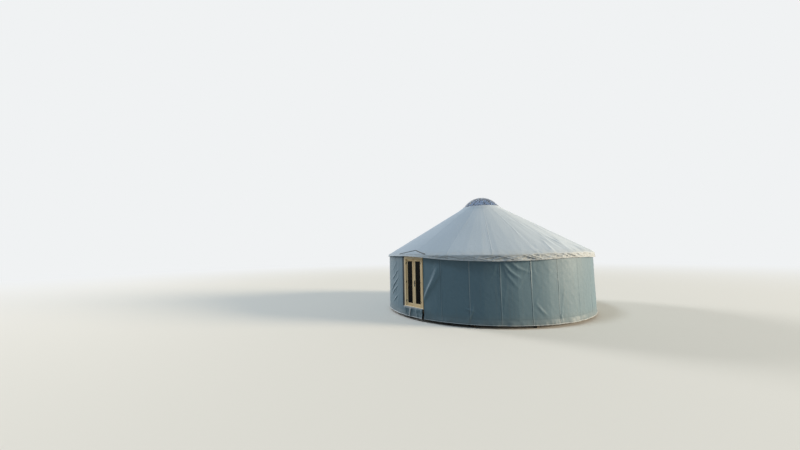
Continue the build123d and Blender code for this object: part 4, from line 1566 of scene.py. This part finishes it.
@dataclass
class Apron:
    """The cloth that hangs from the sill in front of the platform."""

    plan: TentPlan = PLAN
    half_top: float = 0.605
    half_low: float = 0.560
    top: float = 0.530
    y: float = -4.9223
    thickness: float = 0.0015
    wave: Wave = Wave(0.004, 61, 0.15, 0.6, 10)
    foot_out: float = 0.010
    nose_out: float = 0.034
    nose_up: Span = (0.487, 0.530)
    nose_back: float = 0.55
    loose_until: Span = (0.75, 0.98)
    under_nose: Span = (0.30, 0.478)
    hem: Mark = (0.002, 0.150, 0.153)
    welt: Mark = (0.0025, 0.484, 0.487)
    band_ends: Span = (-0.622, 0.604)
    band_out: float = 0.037
    band_up: float = 0.494
    band_half: Span = (0.0075, 0.046)
    band_thinner: float = 0.024
    band_wave: Wave = Wave(0.0016, 63, 0.08, 0.4, 10)
    band_steps: int = 97
    strap_ends: Span = (0.500, 0.124)
    strap_x: Span = (-0.135, -0.055)
    strap_half: Span = (0.040, 0.0035)
    strap_thinner: float = 0.010
    strap_narrows: Span = (0.50, 0.20)
    strap_drifts: Span = (0.50, 0.13)
    strap_over: float = 0.0045
    strap_steps: int = 49
    folds: tuple[tuple[float, float, float, float], ...] = (
        (0.030, 0.200, -0.07, 0.050),
        (0.016, 0.40, 0.10, 0.05),
        (0.014, -0.28, 0.08, 0.06),
        (0.020, -0.56, 0.04, 0.03),
    )

    def share(self, z: Array) -> Array:
        """How far up the apron a height is, from 0 at the hem to 1 at the sill."""
        return (z - self.plan.skirt_bottom) / (self.top - self.plan.skirt_bottom)

    def front(self, x: Array, z: Array) -> Array:
        """Place y of the cloth's face: pushed out by its folds, a swell, the sill's nose and the hem.

        Each fold (h, a, b, w) stands out by h * bell(x + a + b * share, w).

        Args:
            x: Places along the sill.
            z: Heights above the ground.

        Returns:
            The place y of each point.
        """
        share = self.share(z)
        fold = sum(h * bell(x + a + b * share, w) for h, a, b, w in self.folds)
        flare = self.foot_out * (1 - share) * (0.6 + 0.4 * np.sin(x * 7))
        loose = 1 - smooth(share, *self.loose_until)
        out = loose * (fold + self.wave.height + self.wave.swell(x, z) + flare)
        back = self.nose_back * (1 - smooth(z, *self.under_nose))
        out = out + self.nose_out * (1 - smooth(z, *self.nose_up)) * (1 - back)
        (hem, *low), (welt, *high) = self.hem, self.welt
        return self.y - out - hem * (1 - smooth(z, *low)) - welt * smooth(z, *high)

    def build(self, finish: Finish) -> None:
        """P(u, v) = straight grid from hem to sill, at the face's place, with its band and strap.

        Args:
            finish: The finished materials.
        """
        u = np.linspace(-1, 1, 91)[:, None]
        z = np.concatenate([[self.plan.skirt_bottom], np.linspace(0.128, self.top, 30)]) + 0 * u
        x = u * (self.half_low + (self.half_top - self.half_low) * self.share(z))
        face = np.stack([x, self.front(x, z), z], -1)
        piece = sheet_shell("apron_cloth", face, np.stack([x + 0.30, z], -1), self.thickness)
        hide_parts("apron")
        hand_in(piece, "tent", finish.wall_left)
        # Painted highlight: the band and strap take the pale roof cloth where the apron's nose and fold catch
        # the light.
        band = gathered("apron_highlight_band", [self.band(), self.strap()])
        hand_in(band, "tent", finish.roof)

    def band(self) -> Part:
        """Pale padded band over the sill's nose, a painted highlight for the light that the nose catches: an
        oval carried along the sill, thinner to the right.

        Returns:
            The points and the faces.
        """
        x = np.linspace(*self.band_ends, self.band_steps)
        rise = 0.8 * self.band_thinner * (x + 0.6) / 1.2
        y = self.y - self.band_out - self.band_wave.swell(x, 0 * x)
        thick, tall = self.band_half
        half = tapered(self.band_steps, 2.5, 0.05) * np.stack([thick + 0 * x, tall - rise], 1)
        return carried(np.stack([x, y, self.band_up + rise], 1), UPRIGHT, half, 16)

    def strap(self) -> Part:
        """Pale flat strap from the band to the hem, a painted highlight on a fold's crest: an oval carried
        down the apron's face.

        Returns:
            The points and the faces.
        """
        z = np.linspace(*self.strap_ends, self.strap_steps)
        (place, drift), (wide, thick) = self.strap_x, self.strap_half
        drifts, narrows = (smooth(-z, -high, -low) for high, low in (self.strap_drifts, self.strap_narrows))
        x = place + drift * drifts + 0.006 * np.sin(14 * z)
        half = np.stack([wide - self.strap_thinner * narrows, thick + 0 * z], 1)
        path = np.stack([x, self.front(x, z) - self.strap_over, z], 1)
        return carried(path, np.array([[0, -1.0, 0]]), tapered(self.strap_steps, 1.5, 0.1) * half)


@dataclass
class DoorShadeStrips:
    """Dark sheets of painted shade that close the wall between the door frame and the cover's edges, where
    the gap lies in shadow.
    """

    radius: float = 4.9087
    low: float = 0.5003
    high: float = 2.640
    thickness: float = 0.0012
    wave: Wave = Wave(0.0004, 71, 0.1, 0.5, 10)
    sides: tuple[tuple[str, float, float], ...] = (("right", 6.92, 7.69), ("left", -9.27, -6.92))

    def build(self, finish: Finish) -> None:
        """P(a, z) = around(a, R + swell, z) for each side of the door.

        Args:
            finish: The finished materials.
        """
        for name, start, end in self.sides:
            turns, rows = np.linspace(start, end, 9), np.linspace(self.low, self.high, 80)
            angle, up = np.meshgrid(turns, rows, indexing="ij")
            arc = np.radians(angle) * self.radius
            face = around(angle, self.radius + self.wave.swell(arc, up) - self.wave.height, up)
            piece = sheet_shell(f"door_shade_strip_{name}", face, np.stack([arc + 0.3, up], -1), self.thickness)
            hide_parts(f"door_flap_{name}")
            hand_in(piece, "tent", finish.strip)


# Rigid pieces


def turned(name: str, profile: Array, steps: int) -> Piece:
    """A shape of revolution: P(a, t) = around(a, r(t), z(t)), closed at both poles.

    Args:
        name: The piece's name.
        profile: Rows of (radius, height), from the outer pole to the inner one.
        steps: How many sides it has.

    Returns:
        The object.
    """
    angles = np.arange(steps)[:, None] * 360 / steps + 0 * profile[:, 0]
    grid = around(angles, profile[:, 0] + 0 * angles, profile[:, 1])
    k = np.arange(angles.size).reshape(angles.shape)
    k[:, 0], k[:, -1] = 0, len(profile) - 1
    ring = np.roll(k, -1, axis=0)
    quads = np.stack([k[:, :-1], k[:, 1:], ring[:, 1:], ring[:, :-1]], -1).reshape(-1, 4)
    mesh = bpy.data.meshes.new(name)
    mesh.from_pydata(grid.reshape(-1, 3).tolist(), [], [tuple(dict.fromkeys(q)) for q in quads.tolist()])
    mesh.validate()
    mesh.polygons.foreach_set("use_smooth", np.ones(len(mesh.polygons), bool))
    return placed(name, mesh)


@dataclass
class DomeLight:
    """The clear dome on the crown ring, with its flange and screws."""

    base: float = 5.1479
    radius: float = 0.905
    rise: float = 0.515
    sheet: float = 0.005
    flange: float = 0.037
    fillet: Span = (0.002, 0.001)
    chamfer: float = 0.0015
    burr: float = 0.001
    steps: int = 144
    screws: int = 24
    screws_out: float = 0.019
    screw: Line = (
        (0.010, 0.0), (0.010, 0.0014), (0.0062, 0.0018), (0.0060, 0.0042), (0.0040, 0.0058),
        (0.0010, 0.0062),
    )

    def build(self, finish: Finish) -> None:
        """Arc r = R sin a, z = c + R cos a outside and a sheet's thickness inside, turned round.

        Args:
            finish: The finished materials.
        """
        outer = (self.radius**2 + self.rise**2) / (2 * self.rise)
        inner, middle = outer - self.sheet, self.base + self.rise - outer
        low, edge = self.base - self.sheet, self.radius + self.flange
        down = np.linspace(0, math.asin(self.radius / outer), 34)
        up = np.linspace(math.acos((low - middle) / inner), 0, 34)
        pair = ((outer, down), (inner, up))
        arcs = [np.stack([r * np.sin(a), middle + r * np.cos(a)], -1) for r, a in pair]
        (out, high), chamfer, burr = self.fillet, self.chamfer, self.burr
        rim = [
            (self.radius + out, self.base + high), (edge - chamfer, self.base), (edge, self.base - chamfer),
            (edge, low + burr), (edge - burr, low),
        ]
        piece = turned("dome_shell", np.concatenate([arcs[0], rim, arcs[1]]), self.steps)
        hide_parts("dome")
        hand_in(piece, "tent", finish.dome)
        turn = (np.arange(self.screws) + 0.5) * 360 / self.screws
        places = around(turn, self.radius + self.screws_out + 0 * turn, self.base)
        screws = gathered("dome_screws", [studs(places, UPRIGHT, np.array(self.screw))])
        hand_in(screws, "tent", finish.steel)


@dataclass
class DoorFittings:
    """What is fixed to the leaves: glazing beads, screws, key cylinders and the pair of levers."""

    plan: TentPlan = PLAN
    leaf_front: float = -4.870
    leaf_back: float = -4.826
    glass_half: float = 0.0033
    bead: float = 0.0095
    spindle: Span = (0.048, 1.535)
    plate_face: float = 0.0043
    plate_screw: float = 0.112
    plate_down: float = 0.030
    key: Mark = (0.0085, 0.005, 0.0235)
    key_down: float = 0.072
    key_rings: Line = ((0, 1), (0.0022, 1), (0.003, 0.93))
    key_sides: int = 32
    slot_from: float = -0.3
    lever_out: float = 0.046
    lever_length: float = 0.118
    neck: Line = ((0.0, 0.005), (0.0263, 0.005), (0.0264, 0.0115), (0.0345, 0.0115), (0.036, 0.0085))
    grip: tuple[float, float, float, float] = (0.0082, 0.0080, 0.0070, 0.0052)
    grip_flat: float = 0.86
    bend: float = 0.013
    end: float = 0.010
    hinge_x: float = 0.455
    hinge_z: tuple[float, ...] = (0.750, 1.551, 2.352)
    hinge_screws: Line = ((0, 0.012), (0, 0.034), (-0.009, 0.023))
    screw: Line = (
        (0.0038, 0.0), (0.0038, 0.0005), (0.0031, 0.0012), (0.0017, 0.0015), (0.0014, 0.0009),
        (0.0004, 0.0009),
    )

    def beads(self, side: int) -> list[Part]:
        """Quarter-round beads round the glass, in front and behind, mitred at the corners.

        Formula: for a corner j and a section point (s, d), the point is the light's corner
        moved inwards by s both ways, and out from the glass by d.

        Args:
            side: 1 for the right leaf and -1 for the left one.

        Returns:
            The points and faces of each loop of beads.
        """
        near, far, low, high = self.plan.light
        turn = np.radians(np.array([4, 25, 45, 65, 86]))
        arc = self.bead * np.stack([np.cos(turn), np.sin(turn)], 1)
        section = np.concatenate([[(0.0, 0.0), (self.bead, 0.0)], arc, [(0.0, self.bead)]])
        inward, out = np.maximum(section[:, 0], 0.0002), section[:, 1]
        corners = np.array([(near, low, 1, 1), (far, low, -1, 1), (far, high, -1, -1), (near, high, 1, -1)])
        x, z = (corners[:, c, None] + corners[:, c + 2, None] * inward for c in (0, 1))
        k = np.arange(x.size).reshape(x.shape)
        onward = np.roll(k, -1, axis=0)
        quads = np.stack([k, onward, np.roll(onward, -1, axis=1), np.roll(k, -1, axis=1)], -1).reshape(-1, 4)
        middle = (self.leaf_front + self.leaf_back) / 2
        loops = []
        for face in (-1, 1):
            y = middle + face * (self.glass_half + out) + 0 * x
            points = np.stack([side * x, y, z], -1).reshape(-1, 3)
            loops.append((points, quads[:, ::-1] if face * side < 0 else quads))
        return loops

    def faces(self) -> tuple[tuple[float, int], ...]:
        """The handle plates' faces and which way each looks, outside and then inside."""
        return (self.leaf_front - self.plate_face, -1), (self.leaf_back + self.plate_face, 1)

    def screws(self, side: int) -> Part:
        """Screws in the hinge plates, and in the handle plates of the right leaf.

        Args:
            side: 1 for the right leaf and -1 for the left one.

        Returns:
            The points and the faces.
        """
        x, z = self.spindle[0], self.spindle[1] - self.plate_down
        front = self.faces()[0][0]
        hinges = [(self.hinge_x + dx, foot + dz) for foot in self.hinge_z for dx, dz in self.hinge_screws]
        heads = [(side * across, front, up, 0, -1, 0) for across, up in hinges]
        if side > 0:
            ups = (-self.plate_screw, self.plate_screw)
            heads += [(x, y, z + up, 0, way, 0) for y, way in self.faces() for up in ups]
        heads = np.array(heads, float)
        return studs(heads[:, :3], heads[:, 3:], np.array(self.screw))

    def cylinder(self, face: float, way: int) -> Part:
        """Key cylinder: the larger of a circle and the slot under it, as a polar outline, raised.

        Args:
            face: Place y of the plate's face.
            way: -1 for the plate outside and 1 for the one inside.

        Returns:
            The points and the faces.
        """
        round_r, slot_half, slot_low = self.key
        turn = (np.arange(self.key_sides) + 0.5) * 2 * math.pi / self.key_sides
        slot = np.minimum(slot_half / np.maximum(np.abs(np.cos(turn)), 1e-3), slot_low)
        radius = np.where(np.sin(turn) < self.slot_from, np.maximum(slot, round_r), round_r)
        outline = np.stack([-way * radius * np.cos(turn), 0 * turn, radius * np.sin(turn)], 1)
        middle = np.array([self.spindle[0], face, self.spindle[1] - self.key_down])
        rings = [middle + outline * share + np.array([0, way * out, 0]) for out, share in self.key_rings]
        return np.concatenate(rings), tube_quads(len(rings), self.key_sides)

    def lever(self, way: int) -> Part:
        """One lever: a neck out of the leaf, a bend, the grip, and a short return.

        Args:
            way: -1 for the lever outside and 1 for the one inside.

        Returns:
            The points and faces of an oval carried along that path.
        """
        middle, tip = (self.leaf_front + self.leaf_back) / 2, self.lever_length - self.end
        reach = (self.leaf_back - self.leaf_front) / 2 + self.lever_out
        turn, back = np.radians(np.linspace(0, 90, 9)), np.radians(np.linspace(10, 70, 6))
        grip = np.linspace(self.bend, tip, 12)[1:]
        bend, end, (bent, thick, thin, last) = self.bend, self.end, self.grip
        out, wide = np.array(self.neck).T
        stages = (
            (0 * out, out, wide),
            (bend * (1 - np.cos(turn)), reach - bend + bend * np.sin(turn), np.full(len(turn), bent)),
            (grip, np.full(len(grip), reach), np.linspace(thick, thin, len(grip))),
            (tip + end * np.sin(back), reach - end * (1 - np.cos(back)), np.linspace(thin, last, len(back))),
        )
        x, y, wide = (np.concatenate(row) for row in zip(*stages))
        path = np.stack([self.spindle[0] + x, middle + way * y, 0 * x + self.spindle[1]], 1)
        path[-1] += 0.2 * (path[-1] - path[-2])
        flat = np.where(x > self.bend, self.grip_flat, 1.0)
        return carried(path, UPRIGHT, np.stack([wide * flat, wide], 1), 16)

    def build(self, finish: Finish) -> None:
        """Makes the fittings of each leaf and the levers.

        Args:
            finish: The finished materials.
        """
        for name, side in (("right", 1), ("left", -1)):
            body = f"door_{name}"
            beads = gathered(f"glazing_beads_{name}", self.beads(side), flat=True)
            hand_in(beads, body, finish.timber["door_z"])
            screws = gathered(f"door_screws_{name}", [self.screws(side)])
            hand_in(screws, body, finish.steel)
        keys = gathered("key_cylinders", [self.cylinder(*face) for face in self.faces()])
        hand_in(keys, "door_right", finish.steel)
        levers = gathered("lever_pair", [self.lever(-1), self.lever(1)])
        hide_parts("handle")
        hand_in(levers, "lever", finish.black)


@dataclass
class TrellisPins:
    """A round-headed pin inside every crossing of the wall's laths."""

    first: float = 10.8
    pitch: float = PLAN.rafter_pitch
    bays: int = 48
    face_r: float = 4.8755
    between: float = 0.0095
    low: float = 0.541
    step: float = 0.464
    rows: int = 5
    head: Line = ((0.010, -0.0005), (0.010, 0.001), (0.0085, 0.0032), (0.0045, 0.0048), (0.0012, 0.0051))

    def build(self, finish: Finish) -> None:
        """Crossings lie at the middle of a bay at low + k step, and half a step higher between bays.

        Args:
            finish: The finished materials.
        """
        middles = self.first + self.pitch * np.arange(self.bays)
        edges = middles[:-1] + self.pitch / 2
        grids = []
        for turns, lift, out in ((middles, 0, 0), (edges, 0.5, self.between)):
            turn, row = np.meshgrid(turns, np.arange(self.rows) + lift, indexing="ij")
            grids.append([turn.ravel(), 0 * turn.ravel() + self.face_r + out, row.ravel()])
        angle, radius, row = np.concatenate(grids, 1)
        places = around(angle, radius, self.low + self.step * row)
        heads = studs(places, -around(angle, radius, 0), np.array(self.head), 8)
        pins = gathered("trellis_pins", [heads])
        hand_in(pins, "tent", finish.steel)


@dataclass
class CadPieces:
    """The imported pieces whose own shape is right, and the finish each one gets."""

    nodes: dict[str, Piece]
    timbers: dict[str, tuple[str, ...]] = field(
        default_factory=lambda: {
            "stump": ("stumps",),
            "beam_x": ("bearers",),
            "beam_y": ("joists",),
            "deck": ("floor_deck",),
            "rim": ("rim_board",),
            "trellis": tuple(f"lattice_{side}_{k}" for side in ("right", "left") for k in (1, 2, 3)),
            "rafter": ("rafters",),
            "ring": ("crown_ring",),
            "door_z": ("door_jamb_right", "door_jamb_left"),
            "leaf": ("leaf_right", "leaf_left"),
            "door_x": ("door_head", "door_sill"),
        }
    )

    def build(self, finish: Finish) -> None:
        """Puts each finish into its nodes' material slots.

        Args:
            finish: The finished materials.
        """
        chosen = {name: finish.timber[key] for key, names in self.timbers.items() for name in names}
        chosen |= {"wall_cable": finish.steel, "crown_ribs": finish.rib}
        chosen |= {name: finish.pane for name in ("glass_right", "glass_left")}
        metal = ("frame_hinges", "leaf_hinges_right", "leaf_hinges_left", "handle_plates")
        chosen |= {name: finish.black for name in metal}
        for name, material in chosen.items():
            for slot in self.nodes[name].material_slots:
                slot.material = material
            LOG.info("%s: %s", name, material.name)


# Camera, light and floor


@dataclass(frozen=True)
class PhotoView:
    """The photograph's camera, from the tent's eave, door and hem in it."""

    distance: float = 16.726
    height: float = 2.870
    azimuth: float = 36.33
    yaw: float = -15.085
    pitch: float = 4.997
    roll: float = -0.957
    lens: float = 13.68

    def build(self) -> None:
        """Places the camera: right, up and back axes from yaw, pitch and roll, turned to the azimuth."""
        yaw, pitch, roll, turn = (math.radians(a) for a in (self.yaw, self.pitch, self.roll, self.azimuth))
        right = Vector((math.cos(yaw), -math.sin(yaw), 0))
        ahead = Vector((math.sin(yaw) * math.cos(pitch), math.cos(yaw) * math.cos(pitch), math.sin(pitch)))
        up = right.cross(ahead)
        across = right * math.cos(roll) + up * math.sin(roll)
        above = up * math.cos(roll) - right * math.sin(roll)
        axes = Matrix((across, above, -ahead)).transposed().to_4x4()
        data = bpy.data.cameras.new("photo_camera")
        data.lens = self.lens
        data.clip_end = 2000.0
        camera = placed("photo_camera", data)
        place = Matrix.Translation((0, -self.distance, self.height)) @ axes
        camera.matrix_world = Matrix.Rotation(turn, 4, "Z") @ place
        bpy.context.scene.camera = camera


@dataclass(frozen=True)
class Lamp:
    """A soft distant lamp that shines from an azimuth and an elevation, in degrees."""

    name: str
    azimuth: float
    elevation: float
    strength: float
    soft: float
    colour: Colour

    def build(self) -> None:
        """Hangs the lamp with its back to where it shines from."""
        data = bpy.data.lights.new(self.name, "SUN")
        data.energy, data.angle, data.color = self.strength, math.radians(self.soft), self.colour
        turn, rise = math.radians(self.azimuth), math.radians(self.elevation)
        way = Vector((math.cos(rise) * math.sin(turn), -math.cos(rise) * math.cos(turn), math.sin(rise)))
        placed(self.name, data).rotation_euler = way.to_track_quat("Z", "Y").to_euler()


@dataclass(frozen=True)
class Studio:
    """A pale floor that fades into a pale background, and soft light."""

    floor_colour: Colour = paint(214, 214, 210)
    back_colour: Colour = paint(240, 242, 243)
    bounce_colour: Colour = (0.16, 0.16, 0.15)
    fill_colour: Colour = (0.78, 0.92, 1.0)
    fill: float = 0.31
    rings: tuple[float, ...] = (0.001, 8.0, 20.0, 45.0, 120.0, 400.0)
    fade: Span = (14.0, 60.0)
    lamps: tuple[Lamp, ...] = (
        Lamp("key_lamp", 128.0, 11.0, 6.2, 18.0, (1.0, 0.82, 0.60)),
        Lamp("side_lamp", -76.0, 20.0, 1.8, 16.0, (1.0, 0.96, 0.94)),
        Lamp("top_lamp", -20.0, 62.0, 0.84, 14.0, (0.82, 0.93, 1.0)),
    )

    def floor(self) -> None:
        """A disc P(a, r), dull near the tent and plain backdrop far away."""
        angle, radius = np.meshgrid(np.linspace(0, 360, 73), self.rings, indexing="ij")
        face = around(angle, radius, 0)
        floor = put_mesh("studio_floor", face.reshape(-1, 3), grid_quads(*angle.shape)[:, ::-1])
        n = Nodes("studio_floor")
        n.finish(Base_Color=n.mix(n.seen(), self.bounce_colour, self.floor_colour), Roughness=0.9)
        plain = n.add("Emission", {"Color": self.back_colour, "Strength": 1.0})
        n.blend(n.band(n.reach(*n.axes(n.place())[:2]), *self.fade), n.shader, plain, "Material Output")
        floor.data.materials.append(n.owner)

    def world(self) -> None:
        """Even light all round, and the plain backdrop for what the camera, gloss and glass see."""
        n = Nodes("studio", world=True)
        bpy.context.scene.world = n.owner
        n.finish(Color=self.fill_colour, Strength=self.fill)
        n.blend(n.seen(), n.shader, n.add("Background", {"Color": self.back_colour}), "World Output")

    def build(self) -> None:
        """Sets the floor, the world, the lamps and the view transform."""
        self.floor()
        self.world()
        for lamp in self.lamps:
            lamp.build()
        bpy.context.scene.view_settings.view_transform = "Standard"


def main() -> None:
    """Loads the frame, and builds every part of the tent."""
    logging.basicConfig(level=logging.INFO, format="%(name)s: %(message)s")
    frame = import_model()
    PhotoView().build()
    Studio().build()
    finish = Finish(PLAN)
    parts = (CadPieces(frame["nodes"]), WallCover(), RoofCover(), RainFlap(), Apron(), DoorShadeStrips())
    for part in (*parts, DomeLight(), DoorFittings(), TrellisPins()):
        part.build(finish)


if __name__ == "__main__":
    main()
